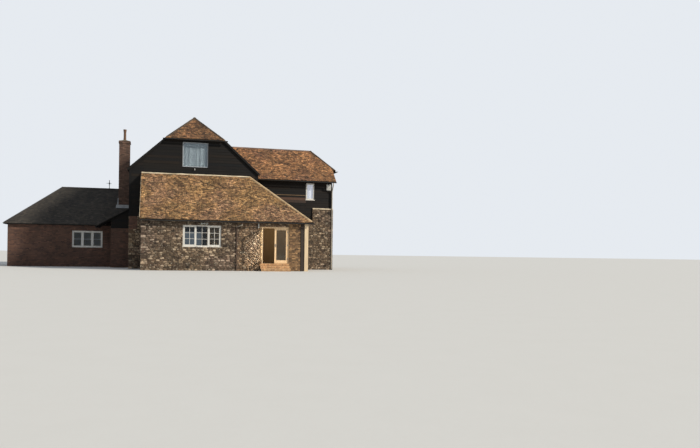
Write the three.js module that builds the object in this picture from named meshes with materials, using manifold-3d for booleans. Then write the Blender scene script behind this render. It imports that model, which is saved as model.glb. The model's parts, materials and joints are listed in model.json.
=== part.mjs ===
// A converted barn with clay-tiled roofs: a tall half-hipped block, a lean-to with French doors across
// its garden front, a lower wing to the right and a hipped range with the chimney to the left.
// Millimetres, +Z up. X runs along the garden front, Y runs back from it and Z is zero at the ground.
// The house is laid out from the tall block's front left corner, and the last lines centre it.
import * as THREE from "three";
import { mergeVertices } from "three/addons/utils/BufferGeometryUtils.js";
import Module from "manifold-3d";

const wasm = await Module();
wasm.setup();

// Driving dimensions
const seat = 0.3; // gap kept between pieces that touch
const stoneWall = 450;
const boardedWall = 200;
const brickWall = 330;
const roofBuild = 150; // tiles, battens and rafters, square to the slope
const floorTop = 420;
const storeyTop = 3060; // top of the stone ground storey
const upperFloorTop = 3280;
const atticFloor = { bottom: 5100, top: 5320 };

const main = { width: 7400, length: 10500, eaveZ: 5820, rise: 0.91, eaveOver: 140, vergeOver: 100 };
const mainHip = { halfWidth: 1745, over: 250, run: 1800 };
const wing = { right: 12360, front: 820, back: 5760, eaveZ: 5620, rise: 0.82, eaveOver: 300, stoneTop: 3850 };
const wingHip = { ridgeEnd: 11400, eaveX: 12720, rise: 1470, vergeX: 12500 };
const wingStep = { x: 11050, setBack: 80 }; // the stone steps up here, and stands proud of the boarding
const lean = { left: 740, right: 9970, front: -3000, eaveZ: 2820, rise: 0.86, eaveOver: 290 };
const leanRoofEnds = { verge: 650, hipEave: 10250 };
const range = { left: -7230, front: 4250, back: 9750, eaveZ: 2650, rise: 0.85, eaveOver: 250 };
const porch = { left: -2100, wallLeft: -1150, front: 2600, eaveZ: 2510, rise: 0.575 };
const porchEnds = { vergeOver: 150, reach: 1250, wall: 220 };
const stack = { x: [-880, -220], y: [5500, 6160], top: 8200, cap: 40, capHeight: 220 };
const pot = { height: 800, radius: 72, bore: 52, lip: 108 };

const door = { x: [7200, 8870], head: 2510, jamb: 70, depth: 100, setBack: 50, stop: 12 };
const leaf = { gap: 6, floorGap: 8, thick: 44, stile: 90, bottomRail: 180, knuckle: 8, openAtRest: 95 };
const step = { going: 300, rise: 140 };
const glassThick = 20;

const leanWindow = { x: [2940, 5020], z: [1330, 2510], setBack: 40, member: 60, lights: 3 };
const gableWindow = { x: [2970, 4450], z: [6060, 7520], setBack: 20, member: 50, lights: 1 };
const wingWindow = { x: [10620, 11160], z: [4420, 5460], setBack: 20, member: 50, lights: 1 };
const rangeWindow = { x: [-3550, -1750], z: [1210, 2250], setBack: 60, member: 60, lights: 3 };
const backWindow = { x: [2660, 4740], z: [1330, 2510], setBack: 40, member: 60, lights: 3 };
const wingBackWindow = { x: [9560, 10100], z: [4420, 5460], setBack: 20, member: 50, lights: 1 };
const innerOpening = { x: [1600, 4400], head: 2600 }; // from the lean-to into the tall block
const rangeDoorway = { y: [7600, 8500], head: 2500 };
const crossing = { y: [1300, 5280], head: 5000 }; // between the upper rooms of the tall block and the wing

const gutter = { radius: 56, wall: 4, rimDrop: 70, hipBeyond: 130, clear: 10 };
const pipe = { radius: 34, easing: 60, steps: 48, x: 5880, outletX: 6150, drop: 90, neckFoot: 2420, foot: 60 };
const wingPipe = { x: 12300, neckFoot: 5000 };
const alarm = { x: 11940, z: 5050, width: 290, height: 390, depth: 90 };
const spotlight = { x: 4095, z: 2615, radius: 55, length: 150, spread: 150, reach: 110, bar: 22, tilt: 0.5 };
const cornerPost = { width: 210, thick: 60 };
const curtain = { thick: 70, side: 10, above: 15, behind: 110 };

// Sizes that follow
const ridgeX = main.width / 2;
const mainRidgeZ = main.eaveZ + (ridgeX + main.eaveOver) * main.rise;
const mainHipZ = mainRidgeZ - mainHip.halfWidth * main.rise;
const wingRidgeY = (wing.front + wing.back) / 2;
const wingRidgeZ = wing.eaveZ + (wingRidgeY - wing.front + wing.eaveOver) * wing.rise;
const leanHipTopX = leanRoofEnds.hipEave - (lean.eaveOver - lean.front);
const leanInside = lean.front + stoneWall;
const wingInside = wing.front + stoneWall;
const wingBackInside = wing.back - stoneWall;
const wingBoards = {
  front: wing.front + wingStep.setBack,
  back: wing.back - wingStep.setBack,
  right: wing.right - wingStep.setBack,
};
const rangeRidgeY = (range.front + range.back) / 2;
const rangeEaves = {
  front: range.front - range.eaveOver,
  back: range.back + range.eaveOver,
  left: range.left - range.eaveOver,
};
const rangeHipRun = rangeRidgeY - rangeEaves.front;

// Each roof is its planes: the height of the tiles over a point of the plan.
const steepness = (rise) => Math.sqrt(1 + rise * rise);
const mainHipRise = (mainRidgeZ - mainHipZ) / mainHip.run;
const wingHipRise = wingHip.rise / (wingHip.eaveX - wingHip.ridgeEnd);
const planes = {
  mainLeft: { rise: main.rise, top: (x) => main.eaveZ + (x + main.eaveOver) * main.rise },
  mainRight: { rise: main.rise, top: (x) => main.eaveZ + (main.width + main.eaveOver - x) * main.rise },
  mainFront: { rise: mainHipRise, top: (x, y) => mainHipZ + (y + mainHip.over) * mainHipRise },
  mainBack: { rise: mainHipRise, top: (x, y) => mainHipZ + (main.length + mainHip.over - y) * mainHipRise },
  wingFront: { rise: wing.rise, top: (x, y) => wing.eaveZ + (y - wing.front + wing.eaveOver) * wing.rise },
  wingBack: { rise: wing.rise, top: (x, y) => wing.eaveZ + (wing.back + wing.eaveOver - y) * wing.rise },
  wingEnd: { rise: wingHipRise, top: (x) => wingRidgeZ - (x - wingHip.ridgeEnd) * wingHipRise },
  leanFront: { rise: lean.rise, top: (x, y) => lean.eaveZ + (y - lean.front + lean.eaveOver) * lean.rise },
  leanHip: { rise: lean.rise, top: (x) => lean.eaveZ + (leanRoofEnds.hipEave - x) * lean.rise },
  rangeFront: { rise: range.rise, top: (x, y) => range.eaveZ + (y - rangeEaves.front) * range.rise },
  rangeBack: { rise: range.rise, top: (x, y) => range.eaveZ + (rangeEaves.back - y) * range.rise },
  rangeEnd: { rise: range.rise, top: (x) => range.eaveZ + (x - rangeEaves.left) * range.rise },
  porch: { rise: porch.rise, top: (x) => porch.eaveZ + (x - porch.left) * porch.rise },
};
const mainRoof = [planes.mainLeft, planes.mainRight, planes.mainFront, planes.mainBack];
const wingRoof = [planes.wingFront, planes.wingBack, planes.wingEnd];
const leanRoof = [planes.leanFront, planes.leanHip];
const rangeRoof = [planes.rangeFront, planes.rangeBack, planes.rangeEnd];
const plumb = (plane) => roofBuild * steepness(plane.rise);

// Finishes
const finish = (color, roughness, metalness = 0) => new THREE.MeshStandardMaterial({ color, roughness, metalness });
const finishes = {
  ragstone: finish(0x8a7f6c, 0.95),
  brick: finish(0x7c5340, 0.9),
  boards: finish(0x1d1c1b, 0.8),
  tile: finish(0x96684a, 0.9),
  oak: finish(0x8c6a45, 0.7),
  paint: finish(0xe6e2d8, 0.5),
  floor: finish(0x8d857a, 0.85),
  plastic: finish(0x191919, 0.5),
  terracotta: finish(0xa9633f, 0.85),
  cloth: finish(0xd5dde2, 0.95),
  glass: new THREE.MeshStandardMaterial({ color: 0xbfd0d6, roughness: 0.05, transparent: true, opacity: 0.35 }),
};

const house = new THREE.Group();

function add(name, material, geometry, parent = house) {
  const mesh = new THREE.Mesh(geometry, finishes[material]);
  mesh.name = name;
  parent.add(mesh);
  return mesh;
}

// Solids
function solid(geometry) {
  const bare = geometry.clone();
  bare.deleteAttribute("normal");
  bare.deleteAttribute("uv");
  const merged = mergeVertices(bare, 1e-3);
  return new wasm.Manifold(new wasm.Mesh({
    numProp: 3,
    vertProperties: new Float32Array(merged.attributes.position.array),
    triVerts: new Uint32Array(merged.index.array),
  }));
}

function faceted(body) {
  const mesh = body.getMesh();
  const geometry = new THREE.BufferGeometry();
  geometry.setAttribute("position", new THREE.BufferAttribute(mesh.vertProperties, 3));
  geometry.setIndex(new THREE.BufferAttribute(mesh.triVerts, 1));
  geometry.computeVertexNormals();
  return geometry;
}

function block(x, y, z) {
  const geometry = new THREE.BoxGeometry(x[1] - x[0], y[1] - y[0], z[1] - z[0]);
  geometry.translate((x[0] + x[1]) / 2, (y[0] + y[1]) / 2, (z[0] + z[1]) / 2);
  return geometry;
}

const join = (...geometries) => geometries.map(solid).reduce((a, b) => a.add(b));

// Moves each edge of a plan outline, listed anticlockwise, inwards by the same distance.
function inset(outline, distance) {
  return outline.map((corner, i) => {
    const before = outline[(i + outline.length - 1) % outline.length];
    const after = outline[(i + 1) % outline.length];
    const a = new THREE.Vector2(corner[0] - before[0], corner[1] - before[1]).normalize();
    const b = new THREE.Vector2(after[0] - corner[0], after[1] - corner[1]).normalize();
    const reach = distance / (1 + a.dot(b));
    return [corner[0] - (a.y + b.y) * reach, corner[1] + (a.x + b.x) * reach];
  });
}

// Stands an upright prism on a plan outline, then shears it so that both ends lie along a roof plane.
function sheared(outline, top, bottomDrop, depth) {
  const shape = new THREE.Shape(outline.map(([x, y]) => new THREE.Vector2(x, y)));
  const geometry = new THREE.ExtrudeGeometry(shape, { depth, bevelEnabled: false });
  const place = geometry.attributes.position;
  for (let i = 0; i < place.count; i += 1) {
    place.setZ(i, place.getZ(i) - bottomDrop + top(place.getX(i), place.getY(i)));
  }
  return geometry;
}

const site = [[-9000, -5000], [15000, -5000], [15000, 13000], [-9000, 13000]];
const skyDepth = 30000;

function roofSheet(outline, plane) {
  return sheared(inset(outline, seat), plane.top, plumb(plane), plumb(plane));
}

// Cuts a wall off at the underside of every plane of a roof.
function underRoof(body, roof) {
  return roof.reduce(
    (rest, plane) => rest.subtract(solid(sheared(site, plane.top, plumb(plane) + seat, skyDepth))),
    body,
  );
}

// Everything below a roof's tiles, to cut another roof that dies onto it.
function roofMass(roof, x, y) {
  return roof.reduce(
    (rest, plane) => rest.subtract(solid(sheared(site, plane.top, -seat, skyDepth))),
    solid(block(x, y, [-100, 12000])),
  );
}

// Walls
function windowHole(opening, y) {
  return solid(block(opening.x, y, opening.z));
}

function mainBlockWalls() {
  const back = main.length;
  const stone = [0, storeyTop];
  add("front_wall", "ragstone", faceted(
    solid(block([0, main.width], [0, stoneWall], stone))
      .subtract(solid(block(innerOpening.x, [-100, stoneWall + 100], [-100, innerOpening.head]))),
  ));
  add("side_and_back_walls", "ragstone", faceted(
    join(
      block([0, stoneWall], [stoneWall + seat, back], stone),
      block([0, main.width], [back - stoneWall, back], stone),
      block([main.width - stoneWall, main.width], [wingBackInside, back], stone),
    )
      .subtract(solid(block([-100, stoneWall + 100], rangeDoorway.y, [-100, rangeDoorway.head])))
      .subtract(windowHole(backWindow, [back - stoneWall - 100, back + 100])),
  ));

  const upper = [storeyTop + seat, 10000];
  const between = [boardedWall + seat, back - boardedWall - seat];
  add("front_gable", "boards", faceted(underRoof(
    solid(block([0, main.width], [0, boardedWall], upper))
      .subtract(windowHole(gableWindow, [-100, boardedWall + 100])),
    mainRoof,
  )));
  add("back_gable", "boards", faceted(underRoof(
    solid(block([0, main.width], [back - boardedWall, back], upper))
      .subtract(windowHole(gableWindow, [back - boardedWall - 100, back + 100])),
    mainRoof,
  )));
  add("left_boarded_wall", "boards", faceted(underRoof(solid(block([0, boardedWall], between, upper)), mainRoof)));
  add("right_boarded_wall", "boards", faceted(underRoof(
    solid(block([main.width - boardedWall, main.width], between, [upperFloorTop + seat, 10000]))
      .subtract(solid(block([main.width - 500, main.width + 100], crossing.y, [0, crossing.head]))),
    mainRoof,
  )));
}

function wingWalls() {
  const front = [wing.front, wingInside];
  add("wing_front_wall", "ragstone", faceted(join(
    block([main.width - stoneWall, wing.right], front, [0, storeyTop]),
    block([wingStep.x, wing.right], front, [0, wing.stoneTop]),
    block([main.width - stoneWall, main.width], [stoneWall + seat, wingInside], [0, storeyTop]),
  )));
  add("wing_end_and_back_walls", "ragstone", faceted(join(
    block([wing.right - stoneWall, wing.right], [wingInside + seat, wing.back], [0, wing.stoneTop]),
    block([main.width + seat, wing.right], [wingBackInside, wing.back], [0, wing.stoneTop]),
  )));

  const mainEaveX = main.width + main.eaveOver + seat;
  const eavesOfMain = solid(sheared(
    [[ridgeX, -200], [mainEaveX, -200], [mainEaveX, main.length], [ridgeX, main.length]],
    planes.mainRight.top,
    plumb(planes.mainRight) + seat,
    plumb(planes.mainRight) + 2 * seat,
  ));
  const upTo = 9000;
  const along = [main.width + seat, wingBoards.right];
  const boardsAt = [wingBoards.front, wingBoards.front + boardedWall];
  add("wing_front_boarding", "boards", faceted(underRoof(
    join(
      block(along, boardsAt, [wing.stoneTop + seat, upTo]),
      block([along[0], wingStep.x - seat], boardsAt, [storeyTop + seat, upTo]),
    ).subtract(windowHole(wingWindow, [0, 2000])),
    wingRoof,
  ).subtract(eavesOfMain)));
  add("wing_end_and_back_boarding", "boards", faceted(underRoof(
    join(
      block(
        [wingBoards.right - boardedWall, wingBoards.right],
        [wingBoards.front + boardedWall + seat, wingBoards.back],
        [wing.stoneTop + seat, upTo],
      ),
      block(along, [wingBoards.back - boardedWall, wingBoards.back], [wing.stoneTop + seat, upTo]),
    ).subtract(windowHole(wingBackWindow, [5000, 6000])),
    wingRoof,
  ).subtract(eavesOfMain)));
}

function leanToWalls() {
  const front = [lean.front, leanInside];
  const upTo = 5500;
  add("lean_to_wall_left", "ragstone", faceted(underRoof(
    join(
      block([lean.left, door.x[0]], front, [0, upTo]),
      block([lean.left, lean.left + stoneWall], [lean.front, -seat], [0, upTo]),
    ).subtract(windowHole(leanWindow, [lean.front - 100, leanInside + 100])),
    leanRoof,
  )));
  add("lean_to_wall_right", "ragstone", faceted(underRoof(
    join(
      block([door.x[1], lean.right], front, [0, upTo]),
      block([lean.right - stoneWall, lean.right], [lean.front, wing.front - seat], [0, upTo]),
    ),
    leanRoof,
  )));
  add("lean_to_wall_over_door", "ragstone", faceted(underRoof(
    solid(block([door.x[0] + seat, door.x[1] - seat], front, [door.head, upTo])),
    leanRoof,
  )));
  add("corner_post", "paint", faceted(underRoof(
    solid(block(
      [lean.right - cornerPost.width, lean.right],
      [lean.front - cornerPost.thick, lean.front - seat],
      [0, upTo],
    )),
    leanRoof,
  )));
}

function rangeWalls() {
  const upTo = 6000;
  add("range_front_wall", "brick", faceted(underRoof(
    solid(block([range.left, -seat], [range.front, range.front + brickWall], [0, upTo]))
      .subtract(windowHole(rangeWindow, [range.front - 100, range.front + brickWall + 100])),
    rangeRoof,
  )));
  add("range_end_and_back_walls", "brick", faceted(underRoof(
    join(
      block([range.left, range.left + brickWall], [range.front + brickWall + seat, range.back], [0, upTo]),
      block([range.left, -seat], [range.back - brickWall, range.back], [0, upTo]),
    ),
    rangeRoof,
  )));
  add("porch_wall", "brick", faceted(underRoof(
    solid(block([porch.wallLeft, -seat], [porch.front, porch.front + porchEnds.wall], [0, upTo])),
    [planes.porch],
  )));
}

// Roofs
function mainBlockRoof() {
  const ends = [-main.vergeOver, main.length + main.vergeOver];
  const apexY = [mainHip.run - mainHip.over, main.length - mainHip.run + mainHip.over];
  const hipAtVerge = mainHip.halfWidth * (1 - (mainHip.over - main.vergeOver) / mainHip.run);
  const slope = (eave, verge) => [
    [eave, ends[0]], [verge, ends[0]], [ridgeX, apexY[0]],
    [ridgeX, apexY[1]], [verge, ends[1]], [eave, ends[1]],
  ];
  add("main_roof_left", "tile", roofSheet(slope(-main.eaveOver, ridgeX - hipAtVerge), planes.mainLeft));
  add("main_roof_right", "tile", roofSheet(
    slope(main.width + main.eaveOver, ridgeX + hipAtVerge).reverse(),
    planes.mainRight,
  ));
  const corners = [ridgeX - mainHip.halfWidth, ridgeX + mainHip.halfWidth];
  const eaveY = [-mainHip.over, main.length + mainHip.over];
  add("main_front_half_hip", "tile", roofSheet(
    [[corners[0], eaveY[0]], [corners[1], eaveY[0]], [ridgeX, apexY[0]]],
    planes.mainFront,
  ));
  add("main_back_half_hip", "tile", roofSheet(
    [[corners[1], eaveY[1]], [corners[0], eaveY[1]], [ridgeX, apexY[1]]],
    planes.mainBack,
  ));
}

function wingRoofSlopes() {
  const mainMass = roofMass(
    mainRoof,
    [-main.eaveOver - seat, main.width + main.eaveOver + seat],
    [-main.vergeOver, main.length + main.vergeOver],
  );
  const eaves = [wing.front - wing.eaveOver, wing.back + wing.eaveOver];
  const halfWidth = wingHip.rise / wing.rise;
  const atVerge = halfWidth * (wingHip.vergeX - wingHip.ridgeEnd) / (wingHip.eaveX - wingHip.ridgeEnd);
  const buried = ridgeX + 500;
  add("wing_roof_front", "tile", faceted(solid(roofSheet([
    [buried, eaves[0]], [wingHip.vergeX, eaves[0]], [wingHip.vergeX, wingRidgeY - atVerge],
    [wingHip.ridgeEnd, wingRidgeY], [buried, wingRidgeY],
  ], planes.wingFront)).subtract(mainMass)));
  add("wing_roof_back", "tile", faceted(solid(roofSheet([
    [buried, wingRidgeY], [wingHip.ridgeEnd, wingRidgeY], [wingHip.vergeX, wingRidgeY + atVerge],
    [wingHip.vergeX, eaves[1]], [buried, eaves[1]],
  ], planes.wingBack)).subtract(mainMass)));
  add("wing_half_hip", "tile", roofSheet([
    [wingHip.ridgeEnd, wingRidgeY],
    [wingHip.eaveX, wingRidgeY - halfWidth], [wingHip.eaveX, wingRidgeY + halfWidth],
  ], planes.wingEnd));
}

function leanToRoof() {
  const eaveY = lean.front - lean.eaveOver;
  add("lean_to_roof_front", "tile", roofSheet(
    [[leanRoofEnds.verge, eaveY], [leanRoofEnds.hipEave, eaveY], [leanHipTopX, 0], [leanRoofEnds.verge, 0]],
    planes.leanFront,
  ));
  const stoneBehind = solid(block(
    [main.width - stoneWall, wing.right],
    [wing.front - seat, wingInside],
    [0, storeyTop + seat],
  ));
  add("lean_to_roof_hip", "tile", faceted(solid(roofSheet([
    [leanHipTopX, 0], [leanRoofEnds.hipEave, eaveY], [leanRoofEnds.hipEave, wingBoards.front],
    [main.width, wingBoards.front], [main.width, 0],
  ], planes.leanHip)).subtract(stoneBehind)));
}

function rangeAndPorchRoof() {
  const ridgeEnd = rangeEaves.left + rangeHipRun;
  const nearMain = 0;
  const clear = 15;
  const roundStack = solid(block(
    [stack.x[0] - clear, stack.x[1] + clear],
    [stack.y[0] - clear, stack.y[1] + clear],
    [0, stack.top],
  ));
  add("range_roof_front", "tile", faceted(solid(roofSheet([
    [rangeEaves.left, rangeEaves.front], [nearMain, rangeEaves.front],
    [nearMain, rangeRidgeY], [ridgeEnd, rangeRidgeY],
  ], planes.rangeFront)).subtract(roundStack)));
  add("range_roof_back", "tile", roofSheet([
    [ridgeEnd, rangeRidgeY], [nearMain, rangeRidgeY],
    [nearMain, rangeEaves.back], [rangeEaves.left, rangeEaves.back],
  ], planes.rangeBack));
  add("range_roof_end", "tile", roofSheet([
    [rangeEaves.left, rangeEaves.front], [ridgeEnd, rangeRidgeY], [rangeEaves.left, rangeEaves.back],
  ], planes.rangeEnd));
  const rangeMass = roofMass(
    rangeRoof,
    [rangeEaves.left, 100],
    [rangeEaves.front - seat, rangeEaves.back],
  );
  const ends = [porch.front - porchEnds.vergeOver, range.front + porchEnds.reach];
  add("porch_roof", "tile", faceted(solid(roofSheet([
    [porch.left, ends[0]], [nearMain, ends[0]], [nearMain, ends[1]], [porch.left, ends[1]],
  ], planes.porch)).subtract(rangeMass)));
}

// Chimney
function chimney() {
  const cap = [stack.top - stack.capHeight, stack.top];
  add("chimney_stack", "brick", faceted(join(
    block(stack.x, stack.y, [0, stack.top]),
    block(
      [stack.x[0] - stack.cap, stack.x[1] + stack.cap],
      [stack.y[0] - stack.cap, stack.y[1] + stack.cap],
      cap,
    ),
  )));
  const profile = [
    [pot.bore, 0], [pot.radius + 20, 0], [pot.radius + 20, 40], [pot.radius, 60], [pot.radius - 8, pot.height - 90],
    [pot.lip, pot.height - 50], [pot.lip, pot.height], [pot.bore, pot.height], [pot.bore, 0],
  ].map(([r, z]) => new THREE.Vector2(r, z));
  const potMesh = add("chimney_pot", "terracotta", new THREE.LatheGeometry(profile, 20).rotateX(Math.PI / 2));
  potMesh.position.set((stack.x[0] + stack.x[1]) / 2, (stack.y[0] + stack.y[1]) / 2, stack.top + seat);
}

// Floors
function floors() {
  const level = [0, floorTop];
  const back = main.length - stoneWall - seat;
  const inMain = [stoneWall + seat, main.width - stoneWall - seat];
  const hearth = solid(block(
    [stack.x[0] - seat, stack.x[1] + seat],
    [stack.y[0] - seat, stack.y[1] + seat],
    [-100, floorTop + 100],
  ));
  add("ground_floor", "floor", faceted(join(
    block(inMain, [stoneWall + seat, back], level),
    block([innerOpening.x[0] + seat, innerOpening.x[1] - seat], [-500, 1000], level),
    block([lean.left + stoneWall + seat, lean.right - stoneWall - seat], [leanInside + seat, -seat], level),
    block([main.width + seat, lean.right - stoneWall - seat], [-1000, wing.front - seat], level),
    block([main.width - 1000, wing.right - stoneWall - seat], [wingInside + seat, wingBackInside - seat], level),
    block([-500, 1000], [rangeDoorway.y[0] + seat, rangeDoorway.y[1] - seat], level),
    block(
      [range.left + brickWall + seat, -seat],
      [range.front + brickWall + seat, range.back - brickWall - seat],
      level,
    ),
  ).subtract(hearth)));
  const upper = [storeyTop + seat, upperFloorTop];
  add("first_floor", "oak", faceted(join(
    block([boardedWall + seat, main.width], [boardedWall + seat, main.length - boardedWall - seat], upper),
    block([main.width - 1000, wing.right - stoneWall - seat], [wingInside + seat, wingBackInside - seat], upper),
  )));
  add("attic_floor", "oak", block(
    [boardedWall + seat, main.width - boardedWall - seat],
    [boardedWall + seat, main.length - boardedWall - seat],
    [atticFloor.bottom, atticFloor.top],
  ));
}

// Windows
// A frame that fills its opening, with upright mullions between its lights. Its outside face is at Y zero.
function frameSolid(opening, depth, mullionDepth) {
  const x = [opening.x[0] + seat, opening.x[1] - seat];
  const z = [opening.z[0] + seat, opening.z[1] - seat];
  const { member, lights } = opening;
  const ring = solid(block(x, [0, depth], z))
    .subtract(solid(block([x[0] + member, x[1] - member], [-100, depth + 100], [z[0] + member, z[1] - member])));
  const pitch = (x[1] - x[0] - member) / lights;
  return Array.from({ length: lights - 1 }, (_, i) => x[0] + (i + 1) * pitch)
    .reduce((frame, left) => frame.add(solid(block([left, left + member], [0, mullionDepth], z))), ring);
}

function paneSolid(opening, thick, fused) {
  const edge = opening.member + (fused ? -5 : 2 * seat);
  return block(
    [opening.x[0] + edge, opening.x[1] - edge],
    [0, thick],
    [opening.z[0] + edge, opening.z[1] - edge],
  );
}

const frameDepth = 70;

// Ring, mullions in front of the glass, and one pane behind the mullions.
function windowWithPane(name, paneName, opening, wallFace) {
  const frame = frameSolid(opening, frameDepth, frameDepth - glassThick - 10);
  const face = wallFace + opening.setBack;
  add(name, "paint", faceted(frame)).position.y = face;
  add(paneName, "glass", paneSolid(opening, glassThick, false)).position.y = face + frameDepth - glassThick - 5;
}

// A plain window of an unseen side: frame and glass in one piece.
function windowUnit(name, opening, wallFace, outward) {
  const whole = frameSolid(opening, frameDepth, frameDepth).add(
    solid(paneSolid(opening, glassThick, true).translate(0, 25, 0)),
  );
  const start = outward < 0 ? wallFace + opening.setBack : wallFace - opening.setBack - frameDepth;
  add(name, "paint", faceted(whole)).position.y = start;
}

function windows() {
  windowWithPane("lean_to_window", "lean_to_window_glass", leanWindow, lean.front);
  windowWithPane("gable_window", "gable_window_glass", gableWindow, 0);
  windowWithPane("wing_window", "wing_window_glass", wingWindow, wingBoards.front);
  windowUnit("range_window", rangeWindow, range.front, -1);
  windowUnit("back_window", backWindow, main.length, 1);
  windowUnit("back_gable_window", gableWindow, main.length, 1);
  windowUnit("wing_back_window", wingBackWindow, wingBoards.back, 1);
  add("gable_curtain", "cloth", block(
    [gableWindow.x[0] + curtain.side, gableWindow.x[1] - curtain.side],
    [curtain.behind, curtain.behind + curtain.thick],
    [gableWindow.z[0] + curtain.above, gableWindow.z[1] - seat],
  ));
}

// French doors
function frenchDoors() {
  const face = lean.front + door.setBack;
  const outer = [door.x[0] + seat, door.x[1] - seat];
  const inner = [door.x[0] + door.jamb, door.x[1] - door.jamb];
  const headZ = door.head - door.jamb;
  const whole = [floorTop + seat, door.head - seat];
  const stopY = face + leaf.thick + leaf.gap;
  add("door_frame", "oak", faceted(
    solid(block(outer, [face, face + door.depth], whole))
      .subtract(solid(block(inner, [face - 100, stopY], [0, headZ])))
      .subtract(solid(block(
        [inner[0] + door.stop, inner[1] - door.stop],
        [stopY - 100, face + door.depth + 100],
        [0, headZ - door.stop],
      ))),
  ));

  const width = (inner[1] - inner[0] - 3 * leaf.gap) / 2;
  const bottom = floorTop + leaf.floorGap;
  const height = headZ - leaf.gap - bottom;
  const half = leaf.gap / 2;
  // side is 1 for a leaf hung on its left, -1 for one hung on its right. The hinge line is the group's origin.
  const hang = (name, side, hingeX, angle) => {
    const group = new THREE.Group();
    group.position.set(hingeX, face - leaf.knuckle, bottom);
    group.rotation.z = THREE.MathUtils.degToRad(angle);
    house.add(group);
    const across = (a, b) => (side > 0 ? [half + a, half + b] : [-half - b, -half - a]);
    const thick = [leaf.knuckle, leaf.knuckle + leaf.thick];
    add(name, "oak", faceted(
      solid(block(across(0, width), thick, [0, height])).subtract(
        solid(block(across(leaf.stile, width - leaf.stile), [-100, 200], [leaf.bottomRail, height - leaf.stile])),
      ),
    ), group);
    const paneY = leaf.knuckle + (leaf.thick - glassThick) / 2;
    add(`${name}_glass`, "glass", block(
      across(leaf.stile + seat, width - leaf.stile - seat),
      [paneY, paneY + glassThick],
      [leaf.bottomRail + seat, height - leaf.stile - seat],
    ), group);
  };
  hang("left_door", 1, inner[0] + half, -leaf.openAtRest);
  hang("right_door", -1, inner[1] - half, 0);

  const y = [lean.front - 2 * step.going, lean.front - step.going, lean.front, leanInside];
  const profile = [
    [y[0], 0], [y[3], 0], [y[3], floorTop], [y[2], floorTop], [y[2], 2 * step.rise],
    [y[1], 2 * step.rise], [y[1], step.rise], [y[0], step.rise],
  ].map(([a, z]) => new THREE.Vector2(a, z));
  const along = new THREE.Matrix4().makeBasis(
    new THREE.Vector3(0, 1, 0),
    new THREE.Vector3(0, 0, 1),
    new THREE.Vector3(1, 0, 0),
  );
  const length = door.x[1] - door.x[0] - 2 * seat;
  const steps = new THREE.ExtrudeGeometry(new THREE.Shape(profile), { depth: length, bevelEnabled: false });
  add("door_steps", "brick", steps.applyMatrix4(along).translate(door.x[0] + seat, 0, 0));
}

// Rainwater goods
// A half-round channel along X with its rim at Z zero.
function channelAlongX(length) {
  const channel = new THREE.Shape();
  channel.absarc(0, 0, gutter.radius, Math.PI, 2 * Math.PI, false);
  channel.absarc(0, 0, gutter.radius - gutter.wall, 2 * Math.PI, Math.PI, true);
  const alongX = new THREE.Matrix4().makeBasis(
    new THREE.Vector3(0, 1, 0),
    new THREE.Vector3(0, 0, 1),
    new THREE.Vector3(1, 0, 0),
  );
  return new THREE.ExtrudeGeometry(channel, { depth: length, bevelEnabled: false, curveSegments: 8 })
    .applyMatrix4(alongX);
}

// A pipe through a list of points, with its bends eased.
function downpipe(name, material, places) {
  const bends = places.map((p) => new THREE.Vector3(...p));
  const towards = (from, to) => from.clone().add(to.clone().sub(from).setLength(pipe.easing));
  const route = new THREE.CurvePath();
  let last = bends[0];
  for (let i = 1; i < bends.length - 1; i += 1) {
    const before = towards(bends[i], bends[i - 1]);
    const after = towards(bends[i], bends[i + 1]);
    route.add(new THREE.LineCurve3(last, before));
    route.add(new THREE.QuadraticBezierCurve3(before, bends[i], after));
    last = after;
  }
  route.add(new THREE.LineCurve3(last, bends.at(-1)));
  const section = new THREE.Shape().absarc(0, 0, pipe.radius, 0, 2 * Math.PI, false);
  add(name, material, new THREE.ExtrudeGeometry(section, {
    extrudePath: route,
    steps: pipe.steps,
    curveSegments: 10,
    bevelEnabled: false,
  }));
}

function rainwater() {
  const out = gutter.radius + seat;
  const rim = (eaveZ) => eaveZ - gutter.rimDrop;
  const outlet = (eaveZ) => rim(eaveZ) - gutter.radius - seat;

  const leanGutterY = lean.front - lean.eaveOver - out;
  add("lean_to_gutter", "plastic", channelAlongX(leanRoofEnds.hipEave - leanRoofEnds.verge))
    .position.set(leanRoofEnds.verge, leanGutterY, rim(lean.eaveZ));
  const leanPipeY = lean.front - pipe.radius - 2 * seat;
  downpipe("lean_to_downpipe", "plastic", [
    [pipe.outletX, leanGutterY, outlet(lean.eaveZ)], [pipe.outletX, leanGutterY, outlet(lean.eaveZ) - pipe.drop],
    [pipe.x, leanPipeY, pipe.neckFoot], [pipe.x, leanPipeY, pipe.foot],
  ]);

  const hipLength = 2 * (mainHip.halfWidth + gutter.hipBeyond);
  add("front_hip_gutter", "plastic", channelAlongX(hipLength))
    .position.set(ridgeX - hipLength / 2, -mainHip.over - out, rim(mainHipZ));

  const wingGutterY = wing.front - wing.eaveOver - out;
  const wingStart = main.width + main.eaveOver + gutter.clear;
  add("wing_gutter", "plastic", channelAlongX(wingHip.vergeX - wingStart))
    .position.set(wingStart, wingGutterY, rim(wing.eaveZ));
  const wingPipeY = wing.front - pipe.radius - 2 * seat;
  downpipe("wing_downpipe", "paint", [
    [wingPipe.x, wingGutterY, outlet(wing.eaveZ)], [wingPipe.x, wingGutterY, outlet(wing.eaveZ) - pipe.drop],
    [wingPipe.x, wingPipeY, wingPipe.neckFoot], [wingPipe.x, wingPipeY, pipe.foot],
  ]);
  const wingHipLength = 2 * (wingHip.rise / wing.rise + gutter.hipBeyond);
  const wingHipGutter = add("wing_hip_gutter", "plastic", channelAlongX(wingHipLength));
  wingHipGutter.rotation.z = Math.PI / 2;
  wingHipGutter.position.set(wingHip.eaveX + out, wingRidgeY - wingHipLength / 2, rim(wingRidgeZ - wingHip.rise));
}

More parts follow.
